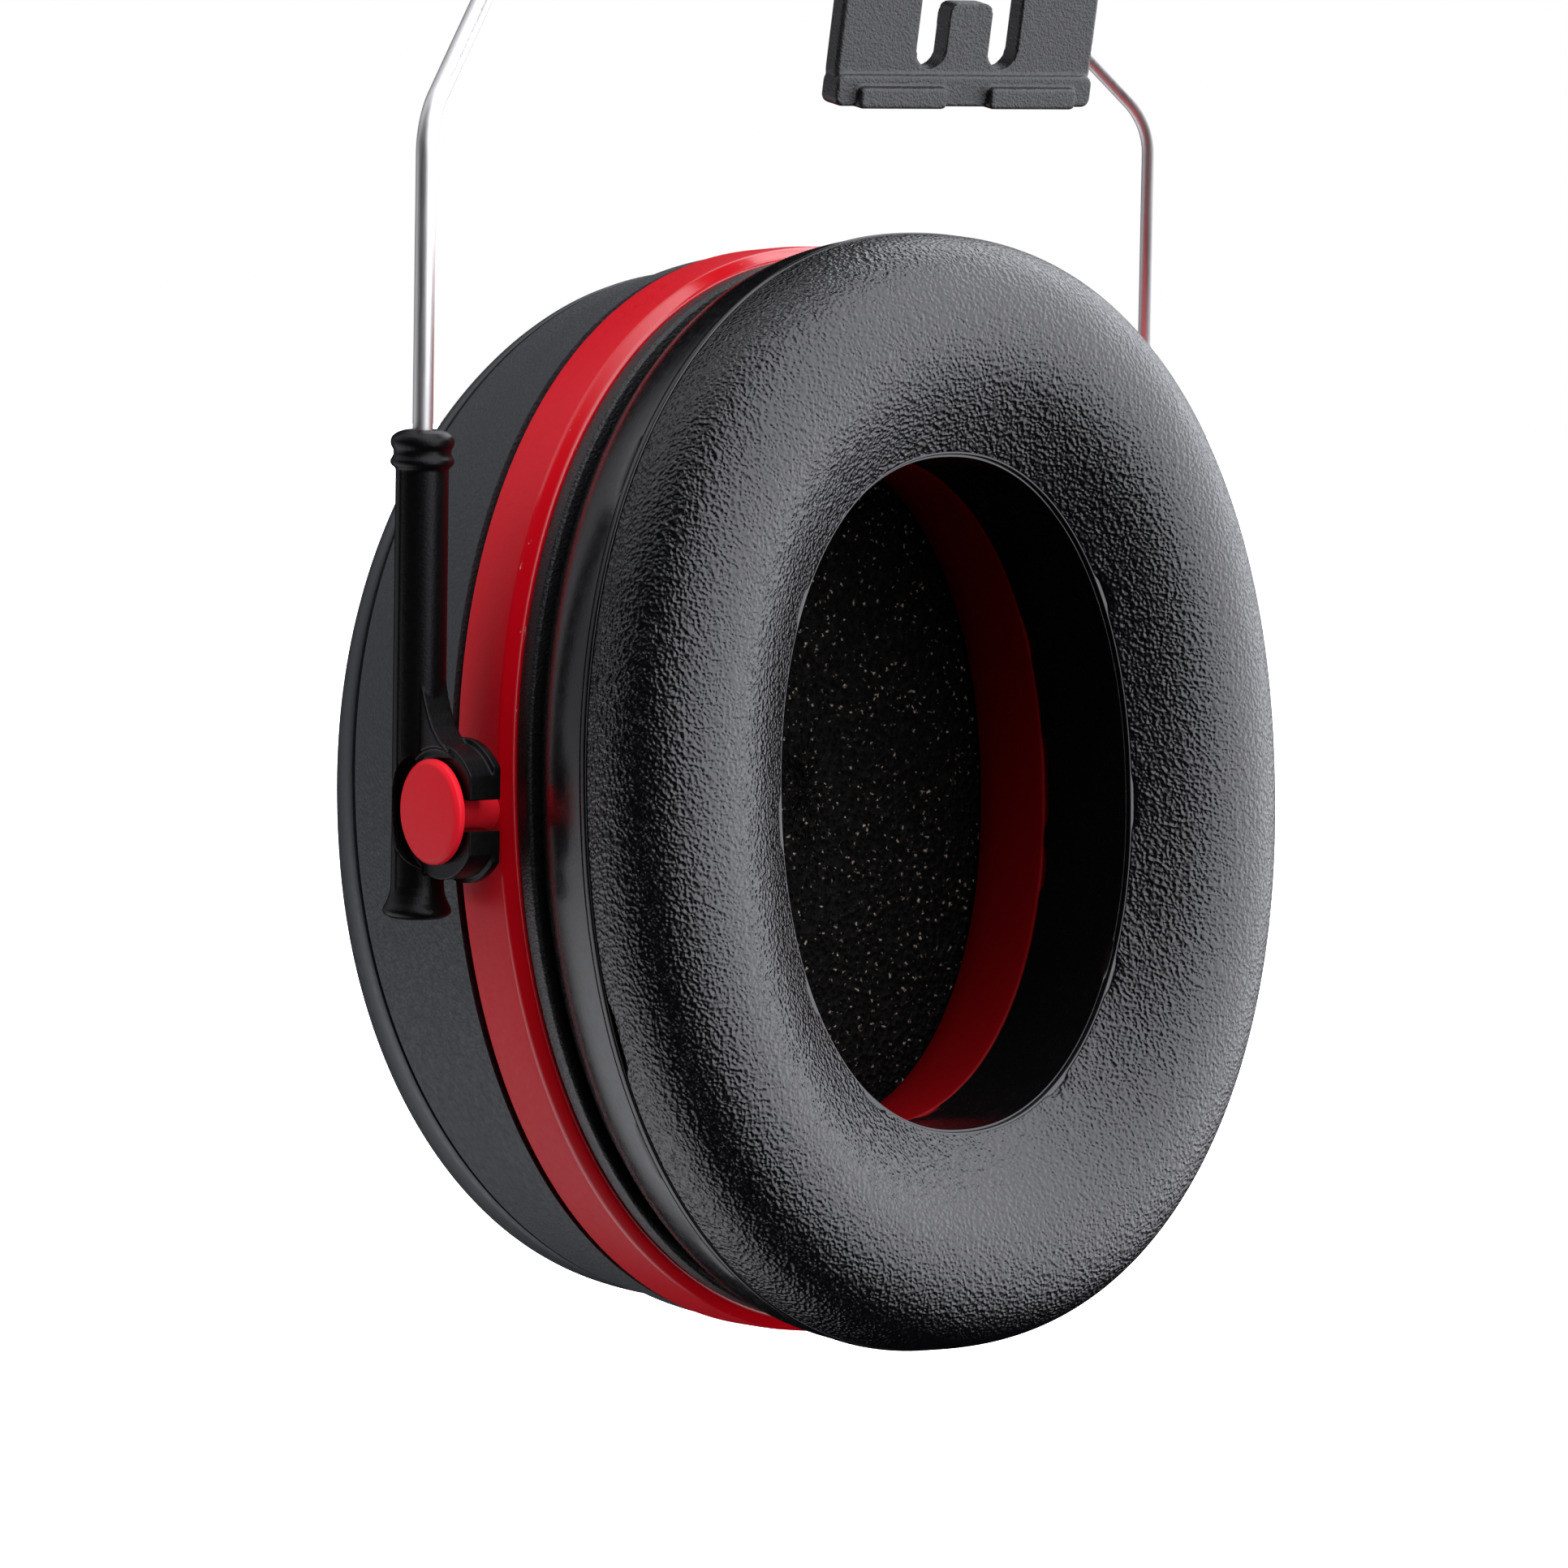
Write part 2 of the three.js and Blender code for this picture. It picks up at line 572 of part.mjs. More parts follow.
function capScrew(name, side) {
  const bottom = CROWN_Z - 7.2;
  const screw = latheZ([
    [0, bottom], [2.0, bottom], [2.2, bottom + 0.3], [2.2, bottom + 1.6], [1.1, bottom + 1.6],
    [1.1, CROWN_Z + 5.2], [0.6, CROWN_Z + 6.2], [0, CROWN_Z + 6.2],
  ], 18);
  const slot = [0, Math.PI / 2].map((turn) =>
    box(-1.3, 1.3, -0.3, 0.3, bottom - 1, bottom + 0.8).rotateZ(turn));
  return mesh(name, cut(screw, ...slot).translate(side * SCREW_X, CROWN_Y + SCREW_DY, 0), STEEL);
}

// torsion spring round the crown of the yoke, inside the eye
function flipSpring() {
  const points = [];
  const turns = 4;
  const perTurn = 12;
  for (let i = 0; i <= turns * perTurn; i += 1) {
    const angle = (2 * Math.PI * i) / perTurn;
    points.push(new THREE.Vector3(-3.2 + (6.4 * i) / (turns * perTurn),
      CROWN_Y + 2.4 * Math.cos(angle), CROWN_Z + 2.4 * Math.sin(angle)));
  }
  return mesh('flip_spring', wireAlong(new PointPath(points), 0.45, 3), STEEL);
}

// rivet on which the lever swivels against the blade, with a washer and a locking ring
function swivelPin() {
  const inner = BLADE_T + 4.2;
  const pin = lathe([
    [0, -HUB_T + BLADE_T - GAP - 1.6], [4.2, -HUB_T + BLADE_T - GAP - 1.6],
    [5.2, -HUB_T + BLADE_T - GAP - 0.9], [5.2, -HUB_T + BLADE_T - GAP],
    [PIN_R, -HUB_T + BLADE_T - GAP], [PIN_R, inner + 1.5], [2.3, inner + 1.5],
    [2.3, inner + 2.8], [PIN_R, inner + 2.8], [2.6, inner + 3.8], [0, inner + 3.8],
  ], 28);
  return mesh('swivel_pin', fromBlade(pin.translate(0, 0, HUB_Z)), STEEL);
}

function swivelWasher() {
  const y0 = BLADE_T + 4.2 + GAP;
  return mesh('swivel_washer', fromBlade(lathe([
    [PIN_R + GAP, y0], [5.6, y0], [5.6, y0 + 0.7], [PIN_R + GAP, y0 + 0.7], [PIN_R + GAP, y0],
  ], 28).translate(0, 0, HUB_Z)), STEEL);
}

function lockingRing() {
  const y0 = BLADE_T + 4.2 + 1.5 + 0.15;
  const shape = new THREE.Shape();
  const open = 0.5;
  shape.absarc(0, 0, 4.8, open, 2 * Math.PI - open, false);
  shape.absarc(0, 0, 2.6, 2 * Math.PI - open, open, true);
  shape.closePath();
  return mesh('locking_ring', fromBlade(plateXZ(shape, y0, 1.0, 0, 14).translate(0, 0, HUB_Z)),
    STEEL);
}

// ---- helmet-slot blade --------------------------------------------------------------------
function helmetBlade() {
  const half = BLADE_W / 2;
  const plate = plateXZ(roundedRect(-half, BLADE_BOTTOM + 1.4, half, 11, 2.2), 0, BLADE_T, 0.3);
  const neck = plateXZ(outline([
    [-half + 1, 6], [half - 1, 6], [HUB_R - 1, HUB_Z - 2], [-HUB_R + 1, HUB_Z - 2],
  ]), 0, BLADE_T);
  const hub = rod(HUB_R, HUB_T, 40).translate(0, BLADE_T - HUB_T / 2, HUB_Z);
  const band = plateXZ(roundedRect(-half, BLADE_BOTTOM + 0.1, half, BLADE_STEP_Z, 0.9),
    -STEP_T, BLADE_T + STEP_T, 0.2);
  const lipCentre = TONGUE_W / 2 + LIP_W / 2;
  const lips = [-1, 1].map((side) => plateXZ(roundedRect(
    side * lipCentre - LIP_W / 2, BLADE_BOTTOM, side * lipCentre + LIP_W / 2,
    BLADE_BOTTOM + LIP_H + 0.6, 0.5), -LIP_STANDS, BLADE_T + LIP_STANDS, 0.2));
  const ribs = [-1, 1].map((side) =>
    box(side * (half - 1.6) - 0.6, side * (half - 1.6) + 0.6, BLADE_T - 0.2, BLADE_T + 0.7, -12, 8));
  const slotHalf = TONGUE_W / 2 + SLOT_W;
  const tongue = TONGUE_W / 2;
  const slotTop = TONGUE_TIP + SLOT_W;
  const round = SLOT_W / 2; // the slot ends in half circles on both sides of the tongue
  const slot = new THREE.Shape();
  slot.moveTo(-slotHalf, TONGUE_ROOT + round);
  slot.absarc(-tongue - round, TONGUE_ROOT + round, round, Math.PI, 2 * Math.PI, false);
  slot.lineTo(-tongue, TONGUE_TIP - TIP_ROUND);
  slot.quadraticCurveTo(-tongue, TONGUE_TIP, -tongue + TIP_ROUND, TONGUE_TIP);
  slot.lineTo(tongue - TIP_ROUND, TONGUE_TIP);
  slot.quadraticCurveTo(tongue, TONGUE_TIP, tongue, TONGUE_TIP - TIP_ROUND);
  slot.lineTo(tongue, TONGUE_ROOT + round);
  slot.absarc(tongue + round, TONGUE_ROOT + round, round, Math.PI, 2 * Math.PI, false);
  slot.lineTo(slotHalf, slotTop - 2 * TIP_ROUND);
  slot.quadraticCurveTo(slotHalf, slotTop, slotHalf - 2 * TIP_ROUND, slotTop);
  slot.lineTo(2 * TIP_ROUND - slotHalf, slotTop);
  slot.quadraticCurveTo(-slotHalf, slotTop, -slotHalf, slotTop - 2 * TIP_ROUND);
  slot.closePath();
  const slotCut = plateXZ(slot, -3, 9, 0, 8);
  const catchNose = box(-TONGUE_W / 2 + 0.6, TONGUE_W / 2 - 0.6, BLADE_T - 0.2, BLADE_T + 0.9,
    TONGUE_TIP - 2.6, TONGUE_TIP - 1.2);
  const pinHole = rod(PIN_R + GAP, 12, 28).translate(0, 0, HUB_Z);
  const body = joined(plate, neck, hub, band, ...lips, ...ribs);
  const pierced = cut(body, slotCut, pinHole);
  return mesh('helmet_blade', joined(pierced, catchNose), BLACK_PLASTIC);
}

// ---- assembly -----------------------------------------------------------------------------
function cup() {
  const pieces = new THREE.Group();
  pieces.add(outerShell(), shellCover(), shellGasket(), cupRing(), foamPad(), foamBlock(),
    cushionPlate(), cushionSkirt(), cushionFace(), cushionLiner(), cushionFoam());
  pieces.position.set(0, -PIVOT_Y, 0);
  const tilted = new THREE.Group();
  tilted.add(pieces);
  tilted.rotation.x = CUP_TILT;
  tilted.position.set(0, PIVOT_Y, 0);
  return tilted;
}

function yokeFrame() {
  const group = new THREE.Group();
  group.add(cup(), holder('holder_front', -1), holder('holder_rear', 1), wireYoke(),
    leverBody(), leverCover(), crownCap(), capScrew('cap_screw_front', -1),
    capScrew('cap_screw_rear', 1), flipSpring(), swivelPin(), swivelWasher(), lockingRing());
  group.position.set(0, PIVOT_FRAME_Y, PIVOT_FRAME_Z);
  return group;
}

const root = new THREE.Group();
const blade = helmetBlade();
blade.rotation.x = BLADE_LEAN;
root.add(blade, yokeFrame());

export default root;
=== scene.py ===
"""Looks of one side of a helmet-mounted earmuff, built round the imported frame.

Lengths are in millimetres unless a line says otherwise; MM turns them into metres.
"""

import math

import bmesh
import bpy
import numpy as np
from mathutils import Matrix, Vector


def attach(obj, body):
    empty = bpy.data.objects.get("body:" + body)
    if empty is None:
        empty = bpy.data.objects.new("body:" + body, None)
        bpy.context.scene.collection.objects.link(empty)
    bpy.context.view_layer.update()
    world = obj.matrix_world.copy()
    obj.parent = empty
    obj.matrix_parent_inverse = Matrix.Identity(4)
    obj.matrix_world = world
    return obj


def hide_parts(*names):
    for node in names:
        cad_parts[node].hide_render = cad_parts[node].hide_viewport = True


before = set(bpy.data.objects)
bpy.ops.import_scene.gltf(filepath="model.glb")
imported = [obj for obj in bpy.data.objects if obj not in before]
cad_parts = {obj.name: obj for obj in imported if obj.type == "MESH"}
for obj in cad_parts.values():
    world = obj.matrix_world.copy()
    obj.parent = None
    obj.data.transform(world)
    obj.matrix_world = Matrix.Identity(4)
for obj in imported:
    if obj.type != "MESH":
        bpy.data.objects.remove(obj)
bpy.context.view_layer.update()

MM = 0.001

# ---- dimensions shared with the CAD, in millimetres ---------------------------------------
BLADE_LEAN = math.radians(10)
BLADE_T = 2.1
HUB_Z, HUB_T = 20, 3.2
GAP = 0.3  # clearance between touching pieces
SWIVEL_REAR = BLADE_T + 4.2  # inside of the lever's wall, behind the blade's front face
PIVOT_FRAME = np.array([0, 26.2, -87.6])
PIVOT_Y = -1.65
WIRE_R = 1.0
WIRE_X, WIRE_Y, WIRE_END_Z = 45.0, 3.2, 5.2
SHOULDER_Z = 66.7
CROWN = np.array([14.0, 20.3, 102.3])
HOLDER_R = 2.6
HOLDER_TOP, HOLDER_BOTTOM = 36.8, -11.0
BORE_R, BORE_BOTTOM = 1.3, -9.4
CLIP_R, CLIP_X0, CLIP_X1, CLIP_CUT, CLIP_MOUTH = 6.65, 42.3, 45.9, 5.4, 3.0
NECK_R, HEAD_R, HEAD_X, HEAD_T = 2.1, 5.15, 46.2, 1.0
CUP_TILT = math.radians(-4)
CUP_LIFT, OVAL_EXTRA, OVAL_POWER, OVAL_FULL_R = 0.1, 14, 2.16, 36
SHELL_FRONT, CREASE_Y, DOME_RISE = 4.9, 25.2, 21
DOME_DROP, CREASE_SAG, DOME_POWER = 9, 7, 1.8
CREASE_R, SHELL_R, COVER_T = 38.4, 39.9, 1.8
AROUND = 288  # facets round the visible ovals


# ---- frames -------------------------------------------------------------------------------
def turn_x(points, angle):
    c, s = math.cos(angle), math.sin(angle)
    out = np.array(points, float)
    y, z = out[..., 1].copy(), out[..., 2].copy()
    out[..., 1], out[..., 2] = y * c - z * s, y * s + z * c
    return out


def from_yoke(points):
    return np.asarray(points, float) + PIVOT_FRAME


def from_cup(points):
    pivot = np.array([0, PIVOT_Y, 0])
    return from_yoke(turn_x(np.asarray(points, float) - pivot, CUP_TILT) + pivot)


def from_blade(points):
    return turn_x(points, BLADE_LEAN)


# ---- mesh building ------------------------------------------------------------------------
def put(name, verts_mm, faces, body, materials, smooth_angle=35.0, face_mat=None):
    """A mesh object from vertices in row-frame millimetres, riding on a body."""
    mesh = bpy.data.meshes.new(name)
    mesh.from_pydata((np.asarray(verts_mm) * MM).tolist(), [], faces)
    mesh.validate()
    if face_mat is not None and len(face_mat) == len(mesh.polygons):
        mesh.polygons.foreach_set("material_index", np.asarray(face_mat, np.int32))
    obj = bpy.data.objects.new(name, mesh)
    bpy.context.scene.collection.objects.link(obj)
    for m in materials:
        mesh.materials.append(m)
    weld(obj)
    smooth(obj, smooth_angle)
    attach(obj, body)
    return obj


def weld(obj):
    bm = bmesh.new()
    bm.from_mesh(obj.data)
    bmesh.ops.remove_doubles(bm, verts=bm.verts, dist=1e-6)
    bmesh.ops.dissolve_degenerate(bm, edges=bm.edges, dist=1e-7)
    bmesh.ops.recalc_face_normals(bm, faces=bm.faces)
    bm.to_mesh(obj.data)
    bm.free()


def smooth(obj, angle):
    mesh = obj.data
    mesh.polygons.foreach_set("use_smooth", [True] * len(mesh.polygons))
    limit = math.radians(angle)
    bm = bmesh.new()
    bm.from_mesh(mesh)
    for e in bm.edges:
        e.smooth = len(e.link_faces) == 2 and e.calc_face_angle(0) < limit
    bm.to_mesh(mesh)
    bm.free()


def soften(points, radius, steps=4, closed=True):
    """A polygon whose corners are rounded."""
    p = [np.array(q, float) for q in points]
    n = len(p)
    out = []
    for i in range(n):
        if not closed and i in (0, n - 1):
            out.append(p[i])
            continue
        a, b, c = p[i - 1], p[i], p[(i + 1) % n]
        la, lc = np.linalg.norm(a - b), np.linalg.norm(c - b)
        cosine = np.dot(a - b, c - b) / max(la * lc, 1e-9)
        if cosine < -0.985:
            out.append(b)
            continue
        reach = min(radius, 0.45 * la, 0.45 * lc)
        s, e = b + (a - b) / la * reach, b + (c - b) / lc * reach
        for k in range(steps + 1):
            t = k / steps
            out.append((1 - t) ** 2 * s + 2 * t * (1 - t) * b + t * t * e)
    return out


def spaced(points, step, closed=False):
    """The polygon with extra points so that no run is longer than step."""
    p = [np.array(q, float) for q in points]
    runs = range(len(p) if closed else len(p) - 1)
    out = []
    for i in runs:
        a, b = p[i], p[(i + 1) % len(p)]
        count = max(1, int(math.ceil(np.linalg.norm(b - a) / step)))
        out += [a + (b - a) * k / count for k in range(count)]
    if not closed:
        out.append(p[-1])
    return out


def ease(t):
    u = np.clip(t, 0, 1)
    return u * u * (3 - 2 * u)


def oval_grid(profile, around=AROUND, bowed=False):
    """Profile points [half-width, y] carried round the cup's oval, as rows of points."""
    prof = np.array(profile, float)
    phi = np.linspace(0, 2 * math.pi, around, endpoint=False)

    def bend(v):
        return np.sign(v) * np.abs(v) ** (2 / OVAL_POWER)

    r, y = prof[:, 0][:, None], prof[:, 1][:, None]
    extra = OVAL_EXTRA * (1 - (1 - np.minimum(1, r / OVAL_FULL_R)) ** 2)
    x = r * bend(np.sin(phi))[None]
    z = (r + extra) * bend(np.cos(phi))[None]
    yy = y + 0 * x
    if bowed:
        yy = yy - CREASE_SAG * (z / 50) ** 2 * ease((y - SHELL_FRONT) / 16)
        z = z - DOME_DROP * ease((y - CREASE_Y) / DOME_RISE)
    return np.stack([x, yy, z + CUP_LIFT], -1)


def grid_faces(rows, cols, closed):
    faces = []
    for i in range(rows if closed else rows - 1):
        j = (i + 1) % rows
        for k in range(cols):
            m = (k + 1) % cols
            faces.append((i * cols + k, i * cols + m, j * cols + m, j * cols + k))
    return faces


def oval_piece(name, profile, materials, closed=True, bowed=False, around=AROUND, pick=None, angle=35.0):
    """A ring or dome of the cup. pick(r, y) gives each band of faces its material."""
    grid = oval_grid(profile, around, bowed)
    rows = len(profile)
    faces = grid_faces(rows, around, closed)
    face_mat = None
    if pick:
        mids = [(np.array(profile[i]) + np.array(profile[(i + 1) % rows])) / 2 for i in range(rows)]
        face_mat = np.repeat([pick(*m) for m in mids[: rows if closed else rows - 1]], around)
    return put(name, from_cup(grid.reshape(-1, 3)), faces, "cup", materials, angle, face_mat)


def turned_points(profile, around):
    prof = np.array(profile, float)
    phi = np.linspace(0, 2 * math.pi, around, endpoint=False)
    r = prof[:, 0][:, None]
    return np.stack([r * np.cos(phi)[None], r * np.sin(phi)[None], prof[:, 1][:, None] + 0 * phi[None]], -1)


AXIS_ROWS = {"x": (2, 0, 1), "y": (0, 2, 1), "z": (0, 1, 2)}


def turned(profile, axis="z", around=64):
    """A solid of revolution as (points, faces); the profile [radius, height] starts and ends on the axis
    or closes on itself."""
    closed = abs(profile[0][0]) > 1e-9
    grid = turned_points(profile, around)
    return grid.reshape(-1, 3)[:, AXIS_ROWS[axis]], grid_faces(len(profile), around, closed)


# ---- materials ----------------------------------------------------------------------------
class Surface:
    """A Principled material with helpers for procedural detail in object space."""

    def __init__(self, name, **sockets):
        self.mat = bpy.data.materials.new(name)
        self.mat.use_nodes = True
        self.tree = self.mat.node_tree
        self.shader = self.tree.nodes["Principled BSDF"]
        for key, value in sockets.items():
            self.shader.inputs[key.replace("_", " ")].default_value = value
        self.coord = self.tree.nodes.new("ShaderNodeTexCoord").outputs["Object"]
        self.normal = None

    def node(self, kind, **props):
        n = self.tree.nodes.new(kind)
        for key, value in props.items():
            setattr(n, key, value)
        return n

    def link(self, a, b):
        self.tree.links.new(a, b)

    def stretched(self, x, y, z):
        n = self.node("ShaderNodeMapping")
        n.inputs["Scale"].default_value = (x, y, z)
        self.link(self.coord, n.inputs["Vector"])
        return n.outputs["Vector"]

    def noise(self, scale, detail=2.0, rough=0.5, vector=None, distortion=0.0):
        n = self.node("ShaderNodeTexNoise")
        n.inputs["Scale"].default_value = scale
        n.inputs["Detail"].default_value = detail
        n.inputs["Roughness"].default_value = rough
        n.inputs["Distortion"].default_value = distortion
        self.link(vector or self.coord, n.inputs["Vector"])
        return n.outputs["Fac"]

    def cells(self, scale, feature="F1", smoothness=0.6, vector=None):
        n = self.node("ShaderNodeTexVoronoi", feature=feature)
        n.inputs["Scale"].default_value = scale
        if feature == "SMOOTH_F1":
            n.inputs["Smoothness"].default_value = smoothness
        self.link(vector or self.coord, n.inputs["Vector"])
        return n.outputs["Distance"]

    def warped(self, scale, amount):
        """Object coordinates pushed about by noise, so that cells lose their regular look."""
        n = self.node("ShaderNodeTexNoise")
        n.inputs["Scale"].default_value = scale
        self.link(self.coord, n.inputs["Vector"])
        v = self.node("ShaderNodeVectorMath", operation="MULTIPLY_ADD")
        self.link(n.outputs["Color"], v.inputs[0])
        v.inputs[1].default_value = (amount, amount, amount)
        self.link(self.coord, v.inputs[2])
        return v.outputs["Vector"]

    def remap(self, value, low, high, to_low, to_high):
        n = self.node("ShaderNodeMapRange")
        for key, x in zip(("From Min", "From Max", "To Min", "To Max"), (low, high, to_low, to_high)):
            n.inputs[key].default_value = x
        self.link(value, n.inputs["Value"])
        return n.outputs["Result"]

    def blend(self, factor, a, b):
        n = self.node("ShaderNodeMix", data_type="RGBA")
        self.link(factor, n.inputs["Factor"])
        for socket, colour in ((n.inputs["A"], a), (n.inputs["B"], b)):
            if isinstance(colour, tuple):
                socket.default_value = (*colour, 1)
            else:
                self.link(colour, socket)
        return n.outputs["Result"]

    def math(self, operation, a, b):
        n = self.node("ShaderNodeMath", operation=operation)
        for socket, value in zip(n.inputs, (a, b)):
            if isinstance(value, (int, float)):
                socket.default_value = value
            else:
                self.link(value, socket)
        return n.outputs["Value"]

    def colour(self, output):
        self.link(output, self.shader.inputs["Base Color"])

    def roughness(self, output):
        self.link(output, self.shader.inputs["Roughness"])

    def bump(self, height, distance, strength=1.0):
        n = self.node("ShaderNodeBump")
        n.inputs["Distance"].default_value = distance
        n.inputs["Strength"].default_value = strength
        self.link(height, n.inputs["Height"])
        if self.normal is not None:
            self.link(self.normal, n.inputs["Normal"])
        self.normal = n.outputs["Normal"]
        self.link(self.normal, self.shader.inputs["Normal"])


def grained_foil():
    s = Surface("foil_grained", Specular_IOR_Level=0.55)
    where = s.warped(700, 0.0007)
    pebbles = s.cells(2500, "SMOOTH_F1", 0.5, where)
    s.colour(s.blend(s.noise(90, 3), (0.0020, 0.0021, 0.0028), (0.0036, 0.0038, 0.0048)))
    s.roughness(s.remap(s.noise(1500, 3), 0.3, 0.7, 0.17, 0.27))
    s.bump(s.noise(130, 2), 0.0004, 0.25)
    s.bump(pebbles, 0.00022, 0.7)
    s.bump(s.noise(4600, 3, 0.6), 0.00005, 0.5)
    return s.mat


def smooth_foil():
    s = Surface("foil_smooth", Specular_IOR_Level=0.5, Coat_Weight=0.15, Coat_Roughness=0.2)
    s.colour(s.blend(s.noise(70, 3), (0.0016, 0.0017, 0.0022), (0.003, 0.0031, 0.004)))
    s.roughness(s.remap(s.noise(900, 4, 0.65), 0.3, 0.7, 0.20, 0.30))
    s.bump(s.noise(60, 2, 0.5), 0.0005, 0.12)
    s.bump(s.noise(2600, 2), 0.00002, 0.5)
    return s.mat


def red_satin(name="red_satin", dark=(0.68, 0.006, 0.016), light=(0.76, 0.010, 0.022)):
    s = Surface(name, Specular_IOR_Level=0.12)
    s.colour(s.blend(s.noise(55, 4), dark, light))
    s.roughness(s.remap(s.noise(1600, 3), 0.3, 0.7, 0.34, 0.46))
    s.bump(s.noise(5200, 2), 0.00003, 0.6)
    s.bump(s.noise(260, 3), 0.00008, 0.3)
    return s.mat


def red_polished():
    s = Surface("red_polished", Specular_IOR_Level=0.5, Coat_Weight=0.3, Coat_Roughness=0.1)
    scuffs = s.remap(s.noise(700, 5, 0.75, s.stretched(1, 1, 0.35)), 0.665, 0.70, 0, 1)
    base = s.blend(s.noise(80, 3), (0.66, 0.001, 0.008), (0.74, 0.003, 0.012))
    s.colour(s.blend(scuffs, base, (0.75, 0.45, 0.45)))
    s.roughness(s.remap(scuffs, 0, 1, 0.22, 0.6))
    s.bump(scuffs, 0.00004, 0.6)
    return s.mat


def red_shaded():
    """The collar inside the cup. It is darker than the ring, to stand for the deep shade in there."""
    s = Surface("red_collar", Specular_IOR_Level=0.1)
    s.colour(s.blend(s.noise(60, 3), (0.17, 0.0006, 0.002), (0.23, 0.001, 0.003)))
    s.roughness(s.remap(s.noise(1600, 3), 0.3, 0.7, 0.45, 0.6))
    s.bump(s.noise(3000, 2), 0.00003, 0.5)
    return s.mat


def shell_texture():
    s = Surface("shell_textured", Specular_IOR_Level=0.45)
    where = s.warped(900, 0.0004)
    s.colour(s.blend(s.noise(40, 4), (0.026, 0.028, 0.031), (0.036, 0.039, 0.043)))
    s.roughness(s.remap(s.noise(1300, 4), 0.3, 0.7, 0.50, 0.68))
    s.bump(s.cells(2600, "SMOOTH_F1", 0.5, where), 0.00014, 0.6)
    s.bump(s.noise(4200, 3), 0.00004, 0.6)
    return s.mat


def shell_satin():
    s = Surface("shell_satin", Specular_IOR_Level=0.5)
    s.colour(s.blend(s.noise(35, 4), (0.028, 0.030, 0.033), (0.036, 0.038, 0.042)))
    s.roughness(s.remap(s.noise(1100, 4), 0.3, 0.7, 0.36, 0.48))
    s.bump(s.noise(3600, 3), 0.00004, 0.6)
    s.bump(s.noise(60, 2), 0.0004, 0.15)
    return s.mat


def black_plastic(name="black_plastic", shade=1.0, rough=(0.36, 0.5), grain=0.00005, shine=0.4):
    s = Surface(name, Specular_IOR_Level=shine)
    s.colour(s.blend(s.noise(150, 4), tuple(shade * c for c in (0.006, 0.0062, 0.0068)),
                     tuple(shade * c for c in (0.011, 0.0112, 0.0122))))
    s.roughness(s.remap(s.noise(1700, 3), 0.3, 0.7, *rough))
    s.bump(s.noise(3800, 3), grain, 0.7)
    return s.mat


def rubber():
    s = Surface("rubber_black", Specular_IOR_Level=0.3)
    s.colour(s.blend(s.noise(400, 3), (0.007, 0.007, 0.008), (0.013, 0.013, 0.014)))
    s.roughness(s.remap(s.noise(1500, 2), 0.3, 0.7, 0.6, 0.8))
    s.bump(s.noise(3000, 2), 0.00005, 0.5)
    return s.mat


def steel():
    s = Surface("steel_drawn", Metallic=1.0)
    drawn = s.noise(2400, 3, 0.6, s.stretched(1, 1, 0.04))
    s.colour(s.blend(s.noise(120, 3), (0.60, 0.585, 0.575), (0.72, 0.705, 0.695)))
    s.roughness(s.remap(drawn, 0.3, 0.7, 0.38, 0.52))
    s.bump(drawn, 0.00002, 0.5)
    return s.mat


def open_foam(name="foam_open", base=(0.0006, 0.0005, 0.0005), lift=(0.0035, 0.003, 0.0027), glints=True):
    s = Surface(name, Specular_IOR_Level=0.08)
    where = s.warped(1500, 0.0005)
    pores = s.cells(1500, "F1", vector=where)
    body = s.blend(s.remap(pores, 0.15, 0.75, 0, 1), base, lift)
    if glints:
        specks = s.remap(s.cells(1300, "F1", vector=s.warped(2600, 0.0008)), 0.24, 0.12, 0, 1)
        gate = s.remap(s.noise(900, 3, 0.7), 0.44, 0.56, 0, 1)
        spark = s.math("MULTIPLY", specks, gate)
        body = s.blend(spark, body, (0.34, 0.28, 0.22))
    s.colour(body)
    s.roughness(s.remap(pores, 0.1, 0.8, 0.95, 0.55))
    s.bump(pores, 0.0006, 1.0)
    s.bump(s.noise(3600, 3), 0.0001, 0.8)
    return s.mat


def floor_finish():
    """White to the camera and clear to every other ray, so it takes no shadow and gives no bounce light."""
    s = Surface("floor_pale", Roughness=0.9, Specular_IOR_Level=0.1)
    s.colour(s.blend(s.noise(3, 3), (0.93, 0.93, 0.93), (0.95, 0.95, 0.95)))
    s.shader.inputs["Emission Color"].default_value = (1, 1, 1, 1)
    s.shader.inputs["Emission Strength"].default_value = 0.9
    mix = s.node("ShaderNodeMixShader")
    s.link(s.node("ShaderNodeLightPath").outputs["Is Camera Ray"], mix.inputs["Fac"])
    s.link(s.node("ShaderNodeBsdfTransparent").outputs[0], mix.inputs[1])
    s.link(s.shader.outputs[0], mix.inputs[2])
    s.link(mix.outputs[0], s.tree.nodes["Material Output"].inputs["Surface"])
    return s.mat


GRAINED, SMOOTH = grained_foil(), smooth_foil()
RED, RED_EDGE, RED_COLLAR = red_satin(), red_polished(), red_shaded()
# lighter than the ring, to stand for side light that the studio lacks
RED_STUD = red_satin("red_stud", (0.90, 0.012, 0.026), (0.98, 0.018, 0.034))
TEXTURED, SATIN = shell_texture(), shell_satin()
BLACK = black_plastic()
BLADE = black_plastic("black_textured", 0.8, (0.34, 0.48), 0.00016, 0.5)
HOLDER = black_plastic("black_acetal", 0.35, (0.28, 0.38), 0.00004, 0.15)
RUBBER, STEEL = rubber(), steel()
OPEN_FOAM = open_foam()
FILLING = open_foam("foam_filling", (0.05, 0.05, 0.05), (0.10, 0.10, 0.10), False)


